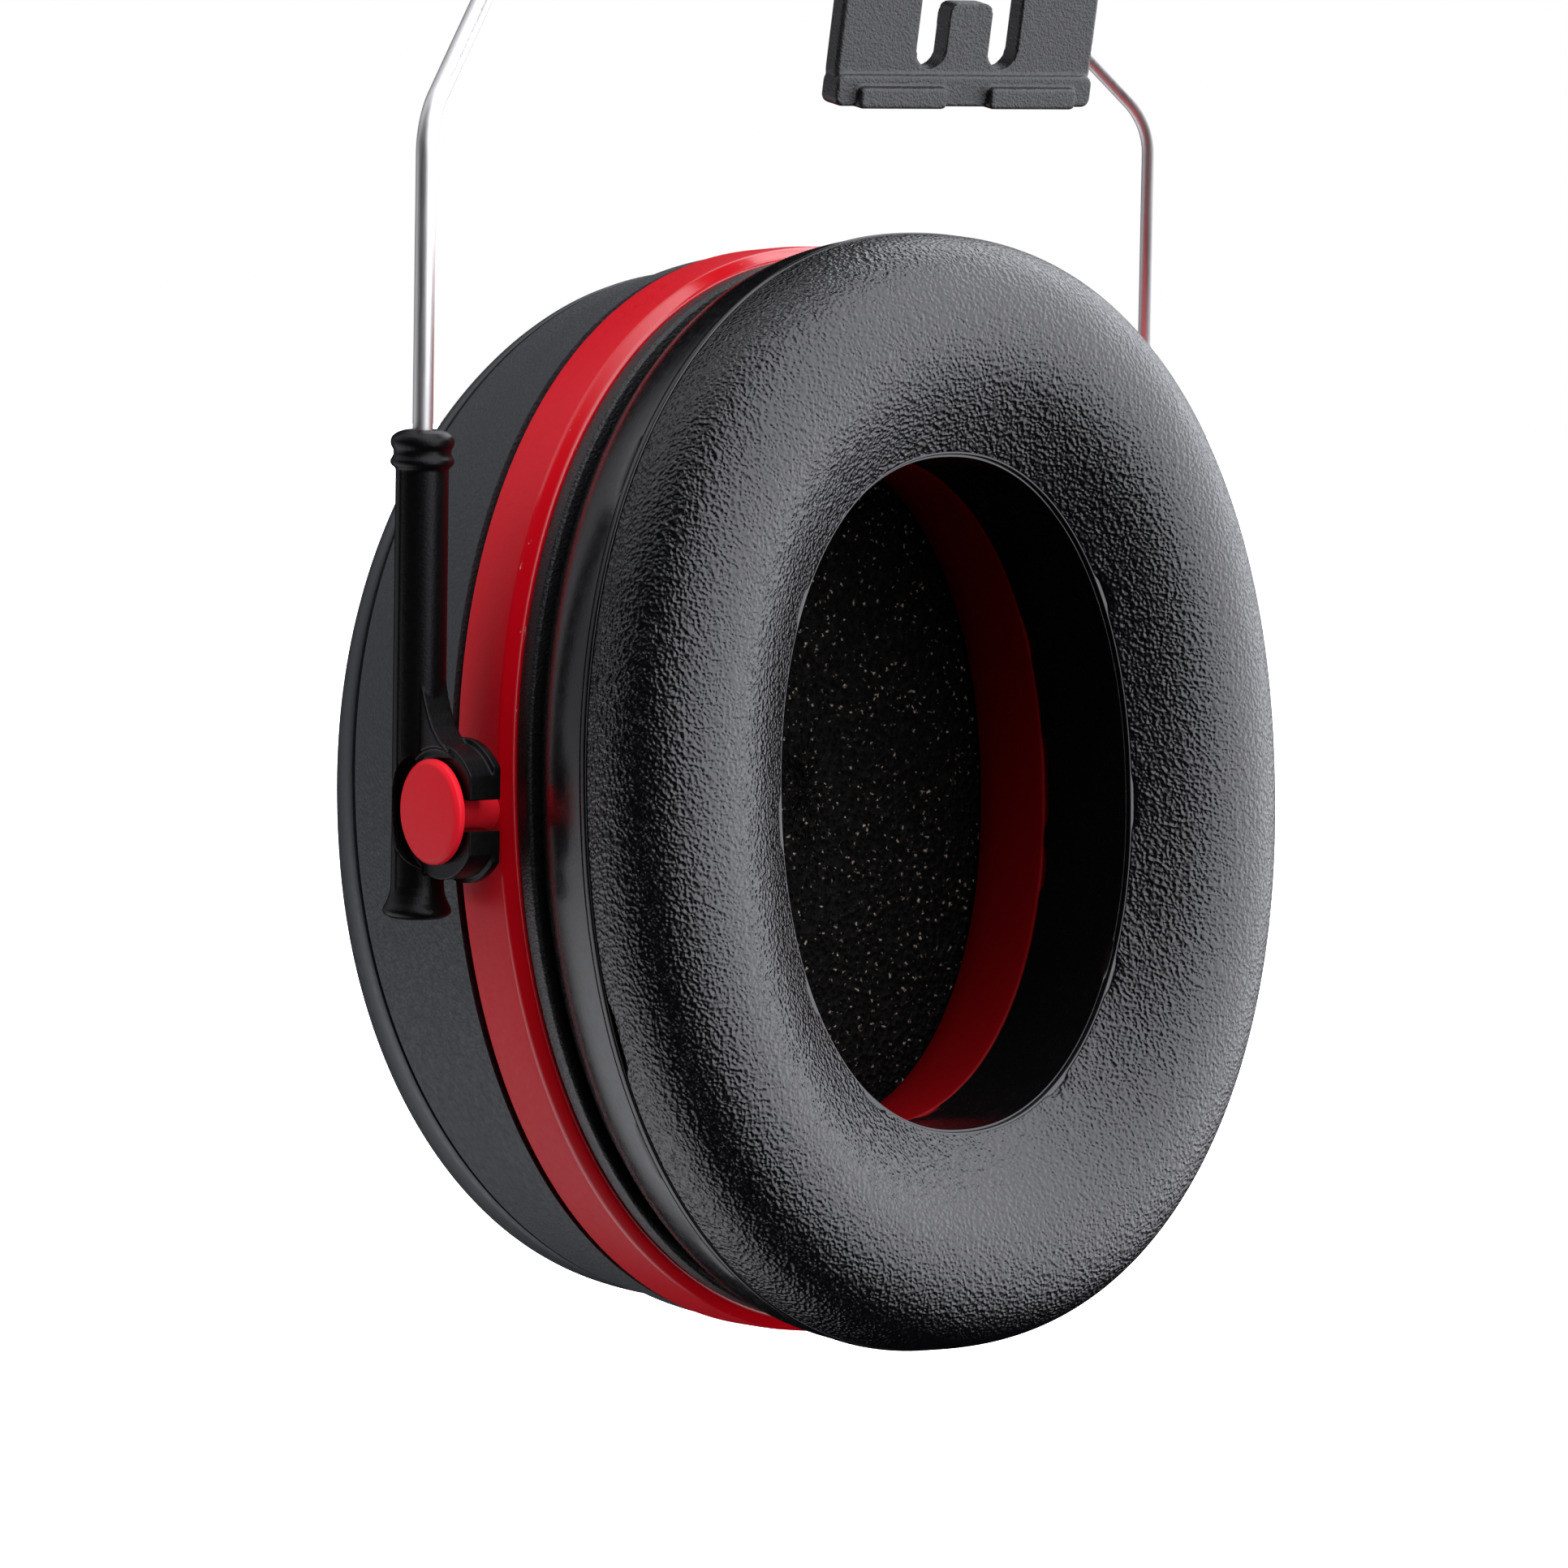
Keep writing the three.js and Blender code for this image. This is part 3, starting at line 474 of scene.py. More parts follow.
# ---- ear cup ------------------------------------------------------------------------------
def dome_arc(rim_r, rim_y, top_y, count):
    t = np.sin(np.linspace(0, math.pi / 2, count + 1))
    r = rim_r * np.clip(1 - t ** DOME_POWER, 0, 1) ** (1 / DOME_POWER)
    return [(a, rim_y + (top_y - rim_y) * b) for a, b in zip(r, t)]


def build_shell():
    seat = COVER_T + GAP
    y0 = CREASE_Y - 0.6
    outer = soften([(SHELL_R, SHELL_FRONT), (39.55, 12.0), (CREASE_R, y0), (CREASE_R - seat, y0)], 0.5, closed=False)
    outer = spaced(outer, 1.5)
    inner_top = dome_arc(34.5, CREASE_Y - 2.6, CREASE_Y + DOME_RISE - seat - 2.6, 24)
    outside = dome_arc(CREASE_R - seat, y0, CREASE_Y + DOME_RISE - seat, 24)
    spigot = [(35.7, SHELL_FRONT), (35.7, -2.2), (37.7, -2.2), (37.7, SHELL_FRONT)]
    profile = inner_top[::-1] + spigot + [tuple(p) for p in outer] + outside[1:]
    shell = oval_piece("shell_wall", profile, [TEXTURED], closed=False, bowed=True)
    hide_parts("outer_shell")

    rim = [(CREASE_R - 0.5, CREASE_Y - 0.3), (CREASE_R - 0.12, CREASE_Y - 0.2), (CREASE_R, CREASE_Y + 0.1)]
    inside = dome_arc(CREASE_R - COVER_T, CREASE_Y - 0.3, CREASE_Y + DOME_RISE - COVER_T, 30)
    profile = inside[::-1] + rim + dome_arc(CREASE_R, CREASE_Y, CREASE_Y + DOME_RISE, 60)[2:]
    cover = oval_piece("shell_dome", profile, [SATIN], closed=False, bowed=True)
    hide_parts("shell_cover")

    profile = soften([(38.05, 3.9), (39.3, 3.9), (39.3, 4.6), (38.05, 4.6)], 0.2, 3)
    gasket = oval_piece("shell_seal", profile, [RUBBER])
    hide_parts("shell_gasket")


def build_ring():
    outline = [
        (39.3, -5.0), (40.2, -3.7), (40.3, -1.0), (40.2, 3.3), (39.9, 3.6), (38.0, 3.6), (38.0, -2.7), (24.9, -2.7),
        (23.4, 0.7), (22.2, 0.7), (21.7, -2.0), (21.5, -6.0), (21.5, -10.6), (23.4, -10.6), (23.4, -4.5),
        (38.0, -4.5), (38.0, -5.0),
    ]
    profile = spaced(soften(outline, 0.32, 4), 2.0, closed=True)

    def pick(r, y):
        if r < 30:
            return 2
        return 1 if r > 38.9 and y < -3.6 else 0

    ring = oval_piece("cup_band", profile, [RED, RED_EDGE, RED_COLLAR], pick=pick, angle=28)
    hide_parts("cup_ring")
    for name, side in (("pivot_stud_front", -1), ("pivot_stud_rear", 1)):
        top = HEAD_X + HEAD_T
        profile = [(0, 39.0), (NECK_R, 39.0), (NECK_R, HEAD_X), (HEAD_R, HEAD_X), (HEAD_R, top - 0.35),
                   (HEAD_R - 0.45, top), (2.5, top + 0.16), (0, top + 0.22)]
        profile = spaced(soften(profile, 0.18, 4, closed=False), 0.6)
        points, faces = turned(profile, "x", 72)
        points = points * [side, 1, 1] + [0, PIVOT_Y, 0]
        put(name, from_cup(points), faces, "cup", [RED_STUD], 40)


def build_foam():
    front = 1.0
    rings = [(r, front + 0.35 * math.sin(r * 0.35) ** 2) for r in np.linspace(0, 31, 90)]
    profile = rings + [(32.6, front + 0.6), (33.5, front + 1.6), (34, front + 4), (34, 9.0), (0, 9.0)]
    pad = oval_piece("foam_pad_cut", profile, [OPEN_FOAM], closed=False, bowed=True, around=240)
    rng = np.random.default_rng(7)
    co = np.zeros(len(pad.data.vertices) * 3)
    pad.data.vertices.foreach_get("co", co)
    co = co.reshape(-1, 3)
    co += rng.normal(0, 0.00006, co.shape)
    pad.data.vertices.foreach_set("co", co.ravel())
    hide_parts("foam_pad")
    profile = spaced(soften([(0, 9.3), (33.6, 9.3), (33.2, 19), (27, 26), (0, 29)], 1.5, closed=False), 3)
    block = oval_piece("foam_block_cut", profile, [OPEN_FOAM], closed=False, bowed=True, around=120)
    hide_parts("foam_block")


# ---- cushion ------------------------------------------------------------------------------
SKIRT = [(37.9, -7.6), (38.1, -8.3), (38.8, -9.5), (39.7, -11.0), (40.4, -13.2), (40.75, -15.8), (40.9, -18.4)]
FACE = [(40.95, -19.75), (40.75, -22.2), (40.1, -24.6), (38.9, -26.5), (37.0, -27.95), (34.3, -28.95), (31, -29.3),
        (28.5, -28.9), (26.3, -27.8), (24.2, -26.4), (22.6, -25.3), (21.65, -24.8)]
LINER = [(21.32, -24.2), (21.3, -21.5), (21.36, -18.0), (21.45, -14.5), (21.5, -10.9)]
FOIL_T = 0.9
SIM_AROUND, SIM_SCALE, SIM_FRAMES = 132, 10, 20  # the cloth is solved at ten times its size
SIM_PRESSURE, SIM_STIFFNESS, SIM_BENDING = 4, 25, 4
FACE_CAP, SEAM_CAP = 0.7, 0.25  # how far the face, and the skirt and liner, may move


def curve_through(points, step):
    """A smooth curve through profile points, sampled at about the given step."""
    p = np.array(points, float)
    ext = np.vstack([2 * p[0] - p[1], p, 2 * p[-1] - p[-2]])
    dense = []
    for i in range(1, len(ext) - 2):
        a, b, c, d = ext[i - 1], ext[i], ext[i + 1], ext[i + 2]
        for t in np.linspace(0, 1, 16, endpoint=False):
            dense.append(0.5 * (2 * b + (c - a) * t + (2 * a - 5 * b + 4 * c - d) * t * t
                                + (3 * b - a - 3 * c + d) * t ** 3))
    dense.append(p[-1])
    dense = np.array(dense)
    length = np.concatenate([[0], np.cumsum(np.linalg.norm(np.diff(dense, axis=0), axis=1))])
    count = max(3, int(round(length[-1] / step)))
    at = np.linspace(0, length[-1], count + 1)
    return np.stack([np.interp(at, length, dense[:, k]) for k in (0, 1)], 1)


def swollen(grid, pinned):
    """The foil skin after a short cloth simulation with pressure, in millimetres; build_cushion caps its movement."""
    rows, cols = grid.shape[:2]
    mesh = bpy.data.meshes.new("swell")
    mesh.from_pydata((grid.reshape(-1, 3) * MM * SIM_SCALE).tolist(), [], grid_faces(rows, cols, True))
    obj = bpy.data.objects.new("swell", mesh)
    bpy.context.scene.collection.objects.link(obj)
    bm = bmesh.new()
    bm.from_mesh(mesh)
    bmesh.ops.recalc_face_normals(bm, faces=bm.faces)
    bm.to_mesh(mesh)
    bm.free()
    group = obj.vertex_groups.new(name="pin")
    group.add([i * cols + k for i in pinned for k in range(cols)], 1.0, "REPLACE")
    cloth = obj.modifiers.new("cloth", "CLOTH")
    cloth.settings.vertex_group_mass = "pin"
    cloth.settings.use_pressure = True
    cloth.settings.uniform_pressure_force = SIM_PRESSURE
    cloth.settings.effector_weights.gravity = 0
    cloth.settings.tension_stiffness = SIM_STIFFNESS
    cloth.settings.compression_stiffness = SIM_STIFFNESS
    cloth.settings.bending_stiffness = SIM_BENDING
    cloth.collision_settings.use_collision = False
    scene = bpy.context.scene
    for f in range(1, SIM_FRAMES + 1):
        scene.frame_set(f)
    done = obj.evaluated_get(bpy.context.evaluated_depsgraph_get())
    co = np.zeros(rows * cols * 3)
    done.data.vertices.foreach_get("co", co)
    scene.frame_set(1)
    bpy.data.objects.remove(obj)
    return co.reshape(rows, cols, 3) / (MM * SIM_SCALE)


def grid_normals(grid):
    du = np.roll(grid, -1, 1) - np.roll(grid, 1, 1)
    dv = np.gradient(grid, axis=0)
    n = np.cross(du, dv)
    n /= np.maximum(np.linalg.norm(n, axis=-1, keepdims=True), 1e-9)
    return n


def foil_piece(name, grid, toward, material):
    """A closed foil band from its outer grid; toward(+1/-1) is the side of its inner face."""
    inner = grid + toward * grid_normals(grid) * FOIL_T
    loop = np.concatenate([grid, inner[::-1]], 0)
    rows, cols = loop.shape[:2]
    obj = put(name, from_cup(loop.reshape(-1, 3)), grid_faces(rows, cols, True), "cup", [material], 60)
    crease = obj.data.attributes.new("crease_edge", "FLOAT", "EDGE")
    keys = {0, grid.shape[0] - 1, grid.shape[0], rows - 1}
    sharp = obj.modifiers.new("subdivide", "SUBSURF")
    sharp.levels = sharp.render_levels = 2
    values = []
    index = {tuple(np.round(v, 7)): i // cols for i, v in enumerate(from_cup(loop.reshape(-1, 3)) * MM)}
    for e in obj.data.edges:
        a, b = (index.get(tuple(np.round(np.array(obj.data.vertices[v].co), 7)), -1) for v in e.vertices)
        values.append(0.85 if a == b and a in keys else 0.0)
    crease.data.foreach_set("value", np.array(values, np.float32))
    apply_modifiers(obj)
    smooth(obj, 50)
    return obj


def apply_modifiers(obj):
    done = obj.evaluated_get(bpy.context.evaluated_depsgraph_get())
    mesh = bpy.data.meshes.new_from_object(done)
    old = obj.data
    obj.modifiers.clear()
    obj.data = mesh
    mesh.name = obj.name
    bpy.data.meshes.remove(old)


def build_cushion():
    step = 2.0
    parts = [curve_through(SKIRT, step), curve_through(FACE, step), curve_through(LINER, step)]
    back = curve_through([LINER[-1], (27, -9.4), (33, -8.6), SKIRT[0]], 4.0)[1:-1]
    profile = np.vstack(parts + [back])
    a, b, c = (len(p) for p in parts)
    grid = oval_grid(profile, SIM_AROUND)
    moved = np.zeros_like(grid)
    pinned = [0, a - 1, a, a + b - 1, a + b, *range(a + b + c - 1, len(profile))]
    moved = swollen(grid, pinned) - grid
    length = np.linalg.norm(moved, axis=-1, keepdims=True)
    cap = np.full((len(profile), 1, 1), SEAM_CAP)
    cap[a:a + b] = FACE_CAP
    moved *= np.minimum(1, cap / np.maximum(length, 1e-9))
    for _ in range(3):
        moved = (moved + 0.5 * (np.roll(moved, 1, 1) + np.roll(moved, -1, 1))) / 2
    grid = grid + moved
    side = -1.0 if np.dot(grid_normals(grid[a:a + b])[b // 2, 0], [0, -1, 0]) > 0 else 1.0
    skirt = foil_piece("cushion_skirt_foil", grid[:a], side, SMOOTH)
    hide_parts("cushion_skirt")
    face = foil_piece("cushion_face_foil", grid[a:a + b], side, GRAINED)
    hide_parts("cushion_face")
    liner = foil_piece("cushion_liner_foil", grid[a + b:a + b + c], side, SMOOTH)
    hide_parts("cushion_liner")

    weld_line = soften([(40.2, -18.62), (41.0, -18.62), (41.08, -19.05), (41.0, -19.5), (40.2, -19.5)], 0.2, 3)
    oval_piece("cushion_seam_outer", weld_line, [SMOOTH])
    hole_line = soften([(22.3, -24.3), (21.5, -24.3), (21.46, -24.5), (21.52, -24.7), (22.3, -24.7)], 0.15, 3)
    oval_piece("cushion_seam_inner", hole_line, [SMOOTH])

    filling = [(36.6, -7.6), (38.0, -10.8), (39.3, -15), (39.5, -19.1), (39.3, -22.2), (38.6, -24.8), (36.9, -26.4),
               (34.2, -27.6), (31, -28.0), (28.2, -27.4), (26.0, -26.2), (24.3, -24.9), (23.1, -24.0), (22.85, -10.9),
               (23.8, -10.9), (23.8, -7.6)]
    foam = oval_piece("cushion_filling", spaced(soften(filling, 0.8, 3), 2.5, closed=True), [FILLING],
                      around=180)
    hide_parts("cushion_foam")

    plate = soften([(23.8, -4.8), (23.8, -7.3), (38.8, -7.3), (39.1, -7.0), (39.1, -5.3), (37.5, -5.3), (37.5, -4.8)],
                   0.15, 3)
    rim = oval_piece("cushion_rim", plate, [BLADE])
    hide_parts("cushion_plate")


# ---- holders ------------------------------------------------------------------------------
def raw_object(name, points, faces):
    mesh = bpy.data.meshes.new(name)
    mesh.from_pydata((np.asarray(points) * MM).tolist(), [], faces)
    obj = bpy.data.objects.new(name, mesh)
    bpy.context.scene.collection.objects.link(obj)
    weld(obj)
    return obj


def combine(base, others, operation):
    for other in others:
        m = base.modifiers.new("cut", "BOOLEAN")
        m.operation = operation
        m.solver = "EXACT"
        m.object = other
    apply_modifiers(base)
    for other in others:
        bpy.data.objects.remove(other)
    return base


def mould(obj, voxel, passes):
    """Voxel remesh and smoothing, which give a boolean shape the small radii of a moulding."""
    r = obj.modifiers.new("remesh", "REMESH")
    r.mode = "VOXEL"
    r.voxel_size = voxel * MM
    r.use_smooth_shade = True
    s = obj.modifiers.new("smooth", "SMOOTH")
    s.factor = 0.5
    s.iterations = passes
    apply_modifiers(obj)
    smooth(obj, 180)


def slab_x(outline, x0, x1):
    """Points and faces of a flat outline in Y and Z extruded along X."""
    o = np.array(outline, float)
    n = len(o)
    pts = np.concatenate([np.column_stack([np.full(n, x), o]) for x in (x0, x1)])
    faces = [(i, (i + 1) % n, n + (i + 1) % n, n + i) for i in range(n)]
    return pts, faces + [tuple(range(n))[::-1], tuple(range(n, 2 * n))]


def arc(cy, cz, r, a0, a1, n):
    return [(cy + r * math.cos(a), cz + r * math.sin(a)) for a in np.linspace(a0, a1, n)]


def clip_outline(radius):
    half, inner = CLIP_MOUTH / 2, NECK_R + 0.3
    outer_a, inner_a = math.acos(CLIP_CUT / radius), math.asin(half / inner)
    ring = [(-CLIP_CUT, half)]
    ring += arc(0, 0, inner, math.pi - inner_a, -math.pi + inner_a, 30)
    ring += [(-CLIP_CUT, -half)]
    ring += arc(0, 0, radius, -math.pi + outer_a, math.pi - outer_a, 60)
    return [(y + PIVOT_Y, z) for y, z in ring]


def build_holder(name, node, side):
    top, bottom, r = HOLDER_TOP, HOLDER_BOTTOM, HOLDER_R
    profile = [(0, bottom), (1.6, bottom + 0.03), (2.7, bottom + 0.18), (3.25, bottom + 0.5), (3.38, bottom + 0.8),
               (3.33, bottom + 1.1), (2.98, bottom + 1.75), (2.72, bottom + 2.5), (r, bottom + 3.3), (r, top - 3.85),
               (2.7, top - 3.7), (2.95, top - 3.55), (3.12, top - 3.3), (3.12, top - 2.95), (2.95, top - 2.7),
               (2.82, top - 2.45), (2.82, top - 1.95), (2.98, top - 1.75), (3.12, top - 1.45), (3.12, top - 1.0),
               (2.95, top - 0.65), (2.5, top - 0.3), (1.9, top - 0.08), (1.5, top), (0, top)]
    tube, tube_f = turned(spaced(profile, 1.0), "z", 72)
    body = raw_object(name, tube + [WIRE_X, WIRE_Y, 0], tube_f)
    clip = raw_object("clip", *slab_x(clip_outline(CLIP_R), CLIP_X0 + 0.5, CLIP_X1))
    lip = raw_object("lip", *slab_x(clip_outline(CLIP_R + 0.45), CLIP_X0, CLIP_X0 + 0.9))
    web = [(WIRE_Y - 0.4, 4.8), (PIVOT_Y - 2.6, 5.4), (PIVOT_Y - 1.6, 6.1), (PIVOT_Y - 0.3, 7.0), (PIVOT_Y + 0.8, 8.1),
           (PIVOT_Y + 1.6, 9.4), (WIRE_Y - r + 0.05, 11.0), (WIRE_Y - r + 0.4, 12.4), (WIRE_Y - 0.4, 12.6)]
    fairing = raw_object("fairing", *slab_x(web, WIRE_X - 1.7, WIRE_X + 1.3))
    seam = raw_object("seam", *slab_x([(WIRE_Y - 0.07, bottom + 1), (WIRE_Y + 0.07, bottom + 1),
                                       (WIRE_Y + 0.07, 33.5), (WIRE_Y - 0.07, 33.5)], WIRE_X, WIRE_X + r + 0.1))
    combine(body, [clip, lip, fairing, seam], "UNION")
    hole, hole_f = turned([(0, BORE_BOTTOM), (BORE_R, BORE_BOTTOM), (BORE_R, top + 2), (0, top + 2)], "z", 40)
    bore = raw_object("bore", hole + [WIRE_X, WIRE_Y, 0], hole_f)
    well, well_f = turned([(0, HEAD_X - 0.2), (6.2, HEAD_X - 0.2), (6.2, HEAD_X + 4), (0, HEAD_X + 4)], "x", 72)
    recess = raw_object("recess", well + [0, PIVOT_Y, 0], well_f)
    combine(body, [bore, recess], "DIFFERENCE")
    mould(body, 0.11, 4)
    co = np.zeros(len(body.data.vertices) * 3)
    body.data.vertices.foreach_get("co", co)
    co = from_yoke(co.reshape(-1, 3) / MM * [side, 1, 1]) * MM
    body.data.vertices.foreach_set("co", co.ravel())
    if side < 0:
        body.data.flip_normals()
    body.data.update()
    body.data.materials.append(HOLDER)
    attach(body, "holders")
    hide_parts(node)


# ---- wire yoke ----------------------------------------------------------------------------
def bent_path(corners, radii, per_bend):
    c = [np.array(p, float) for p in corners]
    pts = [c[0]]
    for i in range(1, len(c) - 1):
        back, on = c[i - 1] - c[i], c[i + 1] - c[i]
        back, on = back / np.linalg.norm(back), on / np.linalg.norm(on)
        half = math.acos(np.clip(np.dot(back, on), -1, 1)) / 2
        r = radii[i - 1]
        middle = c[i] + (back + on) / np.linalg.norm(back + on) * (r / math.sin(half))
        start = c[i] + back * (r / math.tan(half)) - middle
        end = c[i] + on * (r / math.tan(half)) - middle
        angle = math.acos(np.clip(np.dot(start, end) / (r * r), -1, 1))
        for k in range(per_bend + 1):
            t = k / per_bend
            pts.append(middle + (math.sin((1 - t) * angle) * start + math.sin(t * angle) * end) / math.sin(angle))
    pts.append(c[-1])
    return np.array(pts)


def tube_along(path, radius, sides, nose=0.35):
    """A round bar along a path, with rounded ends, as points and faces."""
    tangent = np.gradient(path, axis=0)
    tangent /= np.linalg.norm(tangent, axis=1, keepdims=True)
    side = np.cross(tangent[0], [0, 1, 0])
    side /= np.linalg.norm(side)
    rings = []
    for i, (p, t) in enumerate(zip(path, tangent)):
        side = side - t * np.dot(side, t)
        side /= np.linalg.norm(side)
        other = np.cross(t, side)
        a = np.linspace(0, 2 * math.pi, sides, endpoint=False)[:, None]
        rings.append(p + radius * (np.cos(a) * side + np.sin(a) * other))
    ends = []
    for p, t, ring, sign in ((path[0], tangent[0], rings[0], -1), (path[-1], tangent[-1], rings[-1], 1)):
        steps = [(1 - nose * (1 - math.cos(q)), nose * math.sin(q)) for q in np.linspace(0, math.pi / 2, 5)]
        ends.append([p + (ring - p) * k + t * sign * radius * d for k, d in steps[1:]] + [p + t * sign * radius * nose
                    + 0 * ring])
    allrings = ends[0][::-1] + rings + ends[1]
    pts = np.concatenate(allrings)
    return pts, grid_faces(len(allrings), sides, False)


def build_wire():
    cx, cy, cz = CROWN
    corners = [(-WIRE_X, WIRE_Y, WIRE_END_Z + 0.35), (-WIRE_X, WIRE_Y, SHOULDER_Z), (-cx, cy, cz), (cx, cy, cz),
               (WIRE_X, WIRE_Y, SHOULDER_Z), (WIRE_X, WIRE_Y, WIRE_END_Z + 0.35)]
    path = bent_path(corners, [8, 6, 6, 8], 18)
    points, faces = tube_along(path, WIRE_R, 32)
    wire = put("yoke_wire", from_yoke(points), faces, "yoke", [STEEL], 50)
    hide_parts("wire_yoke")


# ---- blade and lever ----------------------------------------------------------------------
def moulded_copy(name, node, body, material, voxel, passes, upright=0.0):
    """The node's own shape with moulded edges: remeshed in the frame where it stands upright."""
    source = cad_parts[node]
    mesh = source.data.copy()
    mesh.materials.clear()
    obj = bpy.data.objects.new(name, mesh)
    bpy.context.scene.collection.objects.link(obj)
    mesh.transform(Matrix.Rotation(-upright, 4, "X"))
    weld(obj)
    mould(obj, voxel, passes)
    obj.data.transform(Matrix.Rotation(upright, 4, "X"))
    obj.data.materials.append(material)
    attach(obj, body)
    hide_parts(node)
    return obj


def blade_turned(name, profile, body, material, node, around=72):
    points, faces = turned(profile, "y", around)
    obj = put(name, from_blade(points + [0, 0, HUB_Z]), faces, body, [material], 35)
    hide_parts(node)
    return obj


def build_blade_and_lever():
    moulded_copy("slot_blade", "helmet_blade", "blade", BLADE, 0.16, 3, BLADE_LEAN)
    moulded_copy("lever_arm", "lever_body", "lever", BLACK, 0.22, 4)
    moulded_copy("lever_lid", "lever_cover", "lever", SATIN, 0.2, 3)
    moulded_copy("crown_clamp", "crown_cap", "lever", BLACK, 0.2, 3)
    front = -HUB_T + BLADE_T - GAP
    inner = SWIVEL_REAR
    pin = soften([(0, front - 1.6), (4.2, front - 1.6), (5.2, front - 0.9), (5.2, front), (3, front),
                  (3, inner + 1.5), (2.3, inner + 1.5), (2.3, inner + 2.8), (3, inner + 2.8), (2.6, inner + 3.8),
                  (0, inner + 3.8)], 0.25, 4, closed=False)
    blade_turned("swivel_rivet", pin, "lever", STEEL, "swivel_pin")
    y0 = inner + GAP
    washer = soften([(3.3, y0), (5.6, y0), (5.6, y0 + 0.7), (3.3, y0 + 0.7)], 0.12, 3)
    blade_turned("swivel_disc", washer, "lever", STEEL, "swivel_washer")


def build_hardware():
    bottom = CROWN[2] - 7.2
    for name, node, side in (("clamp_screw_front", "cap_screw_front", -1), ("clamp_screw_rear", "cap_screw_rear", 1)):
        head = soften([(0, bottom + 0.02), (2.0, bottom), (2.2, bottom + 0.35), (2.2, bottom + 1.6),
                       (1.1, bottom + 1.6), (1.1, CROWN[2] + 5.2), (0.6, CROWN[2] + 6.2), (0, CROWN[2] + 6.2)],
                      0.2, 4, closed=False)
        points, faces = turned(head, "z", 48)
        screw = raw_object(name, points, faces)
        slots = []
        for turn in (0, 1):
            hx, hy = (1.3, 0.3) if turn == 0 else (0.3, 1.3)
            pts, fcs = slab_x([(-hy, bottom - 1), (hy, bottom - 1), (hy, bottom + 0.8), (-hy, bottom + 0.8)], -hx, hx)
            slots.append(raw_object("slot", pts, fcs))
        combine(screw, slots, "DIFFERENCE")
        offset = Vector((from_yoke([side * 6.2, CROWN[1] - 5.2, 0]) * MM).tolist())
        screw.data.transform(Matrix.Translation(offset))
        screw.data.materials.append(STEEL)
        smooth(screw, 30)
        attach(screw, "lever")
        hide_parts(node)
    turns, per_turn = 4, 40
    k = np.arange(turns * per_turn + 1)
    angle = 2 * math.pi * k / per_turn
    helix = np.stack([-3.2 + 6.4 * k / (turns * per_turn), CROWN[1] + 2.4 * np.cos(angle),
                      CROWN[2] + 2.4 * np.sin(angle)], 1)
    points, faces = tube_along(helix, 0.45, 14)
    spring = put("flip_coil", from_yoke(points), faces, "lever", [STEEL], 50)
    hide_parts("flip_spring")
    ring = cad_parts["locking_ring"]
    ring.data.materials.clear()
    ring.data.materials.append(STEEL)


# ---- studio -------------------------------------------------------------------------------
AIM = (0, 30.4, -87.5)  # the point that the middle of the picture looks at
DISTANCE = 837
AZIMUTH, ELEVATION, ROLL = math.radians(-36.45), math.radians(5.62), math.radians(0.95)
LENS, SENSOR = 190.8, 36
FLOOR_Z, FLOOR_R = -300, 3600

# azimuth, elevation, inner and outer half-angle in degrees, strength
SOFTBOXES = [
    (54, 35, 42, 85, 3.55),
    (-140, 48, 10, 40, 0.9),
    (-135, -42, 10, 44, 1.6),
    (-152, 5, 12, 36, 0.35),
]
LIGHT_TINT = (0.96, 0.97, 1.03, 1)
WHITE = (1, 1, 1, 1)


def direction_of(azimuth, elevation):
    """Unit vector towards a place in the studio; azimuth 0 is in front, at minus Y."""
    return np.array([math.sin(azimuth) * math.cos(elevation), -math.cos(azimuth) * math.cos(elevation),
                     math.sin(elevation)])


def build_camera():
    data = bpy.data.cameras.new("camera")
    data.lens = LENS
    data.sensor_width = SENSOR
    data.clip_start, data.clip_end = 0.01, 50
    cam = bpy.data.objects.new("camera", data)
    bpy.context.scene.collection.objects.link(cam)
    back = direction_of(AZIMUTH, ELEVATION)
    level = np.array([math.cos(AZIMUTH), math.sin(AZIMUTH), 0])
    right = math.cos(ROLL) * level + math.sin(ROLL) * np.cross(back, level)
    place = (np.array(AIM) + DISTANCE * back) * MM
    columns = np.column_stack([right, np.cross(back, right), back, place])
    cam.matrix_world = Matrix(columns.tolist() + [[0, 0, 0, 1]])
    bpy.context.scene.camera = cam


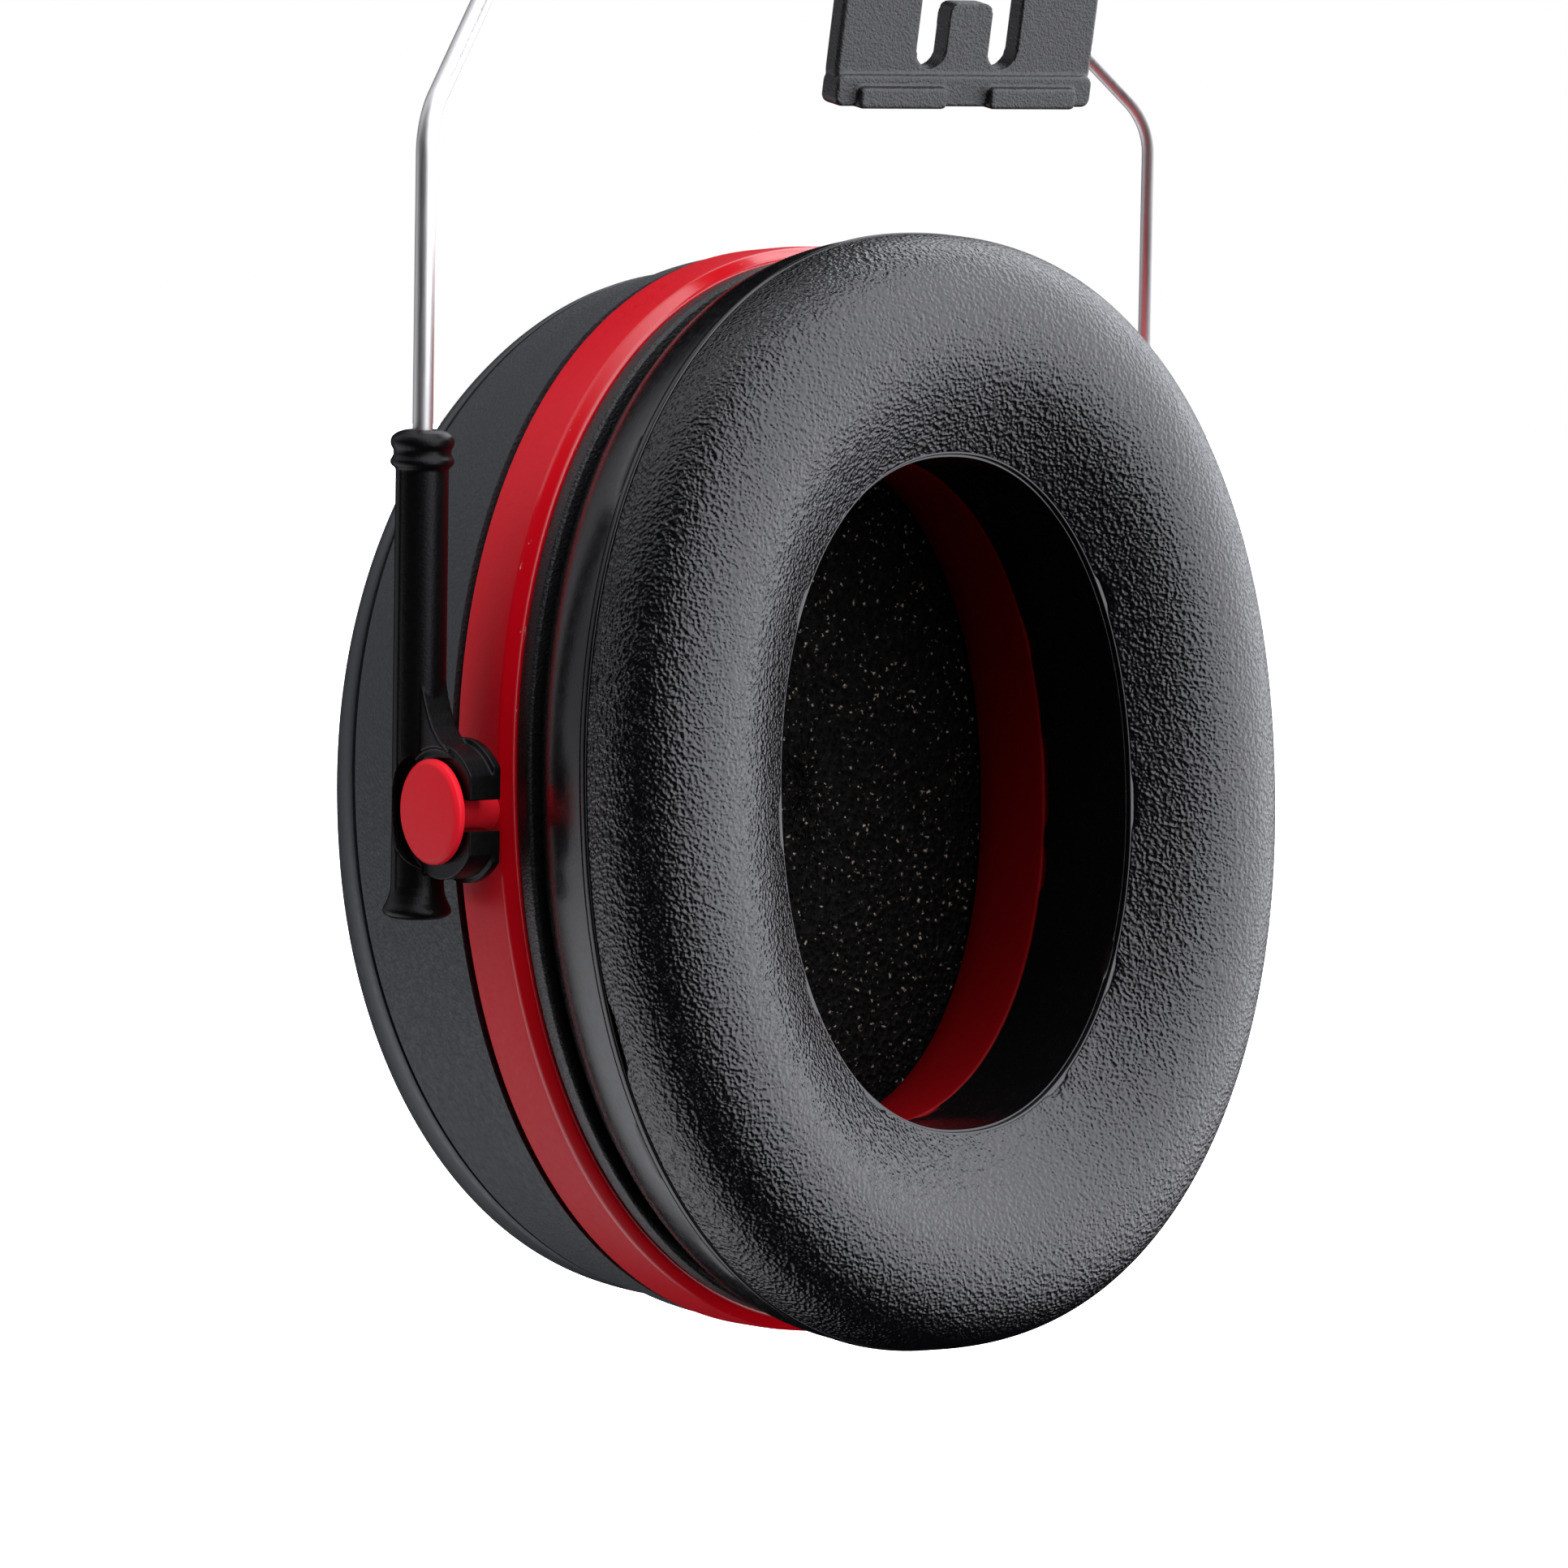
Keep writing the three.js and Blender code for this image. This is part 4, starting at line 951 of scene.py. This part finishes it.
def build_world():
    world = bpy.data.worlds.new("studio")
    bpy.context.scene.world = world
    world.use_nodes = True
    tree = world.node_tree
    tree.nodes.clear()
    out = tree.nodes.new("ShaderNodeOutputWorld")
    direction = tree.nodes.new("ShaderNodeTexCoord").outputs["Generated"]

    def op(kind, a, b):
        n = tree.nodes.new("ShaderNodeMath")
        n.operation = kind
        for socket, value in zip(n.inputs, (a, b)):
            if isinstance(value, (int, float)):
                socket.default_value = value
            else:
                tree.links.new(value, socket)
        return n.outputs[0]

    total = None
    for azimuth, elevation, inner, outer, power in SOFTBOXES:
        dot = tree.nodes.new("ShaderNodeVectorMath")
        dot.operation = "DOT_PRODUCT"
        tree.links.new(direction, dot.inputs[0])
        toward = direction_of(math.radians(azimuth), math.radians(elevation))
        dot.inputs[1].default_value = toward.tolist()
        ramp = tree.nodes.new("ShaderNodeMapRange")
        ramp.interpolation_type = "SMOOTHSTEP"
        for key, x in zip(("From Min", "From Max", "To Min", "To Max"),
                          (math.cos(math.radians(outer)), math.cos(math.radians(inner)), 0, power)):
            ramp.inputs[key].default_value = x
        tree.links.new(dot.outputs["Value"], ramp.inputs["Value"])
        total = ramp.outputs["Result"] if total is None else op("ADD", total, ramp.outputs["Result"])
    lit = tree.nodes.new("ShaderNodeBackground")
    tree.links.new(total, lit.inputs["Strength"])
    lit.inputs["Color"].default_value = LIGHT_TINT
    plain = tree.nodes.new("ShaderNodeBackground")
    plain.inputs["Color"].default_value = WHITE
    plain.inputs["Strength"].default_value = 1.0
    mix = tree.nodes.new("ShaderNodeMixShader")
    tree.links.new(tree.nodes.new("ShaderNodeLightPath").outputs["Is Camera Ray"], mix.inputs["Fac"])
    tree.links.new(lit.outputs[0], mix.inputs[1])
    tree.links.new(plain.outputs[0], mix.inputs[2])
    tree.links.new(mix.outputs[0], out.inputs["Surface"])


def build_floor():
    rings = [(0, 0), (FLOOR_R / 6, 0), (FLOOR_R / 2.4, 0), (FLOOR_R / 1.2, 0), (FLOOR_R, 50)]
    points, faces = turned(rings, "z", 96)
    mesh = bpy.data.meshes.new("floor")
    mesh.from_pydata(((points + [0, 0, FLOOR_Z]) * MM).tolist(), [], faces)
    floor = bpy.data.objects.new("floor", mesh)
    bpy.context.scene.collection.objects.link(floor)
    mesh.materials.append(floor_finish())
    weld(floor)


build_camera()
build_world()
build_floor()
build_shell()
build_ring()
build_foam()
build_cushion()
for holder_name, holder_node, holder_side in (
    ("sliding_holder_front", "holder_front", -1),
    ("sliding_holder_rear", "holder_rear", 1),
):
    build_holder(holder_name, holder_node, holder_side)
build_wire()
build_blade_and_lever()
build_hardware()
bpy.context.scene.view_settings.view_transform = "Standard"
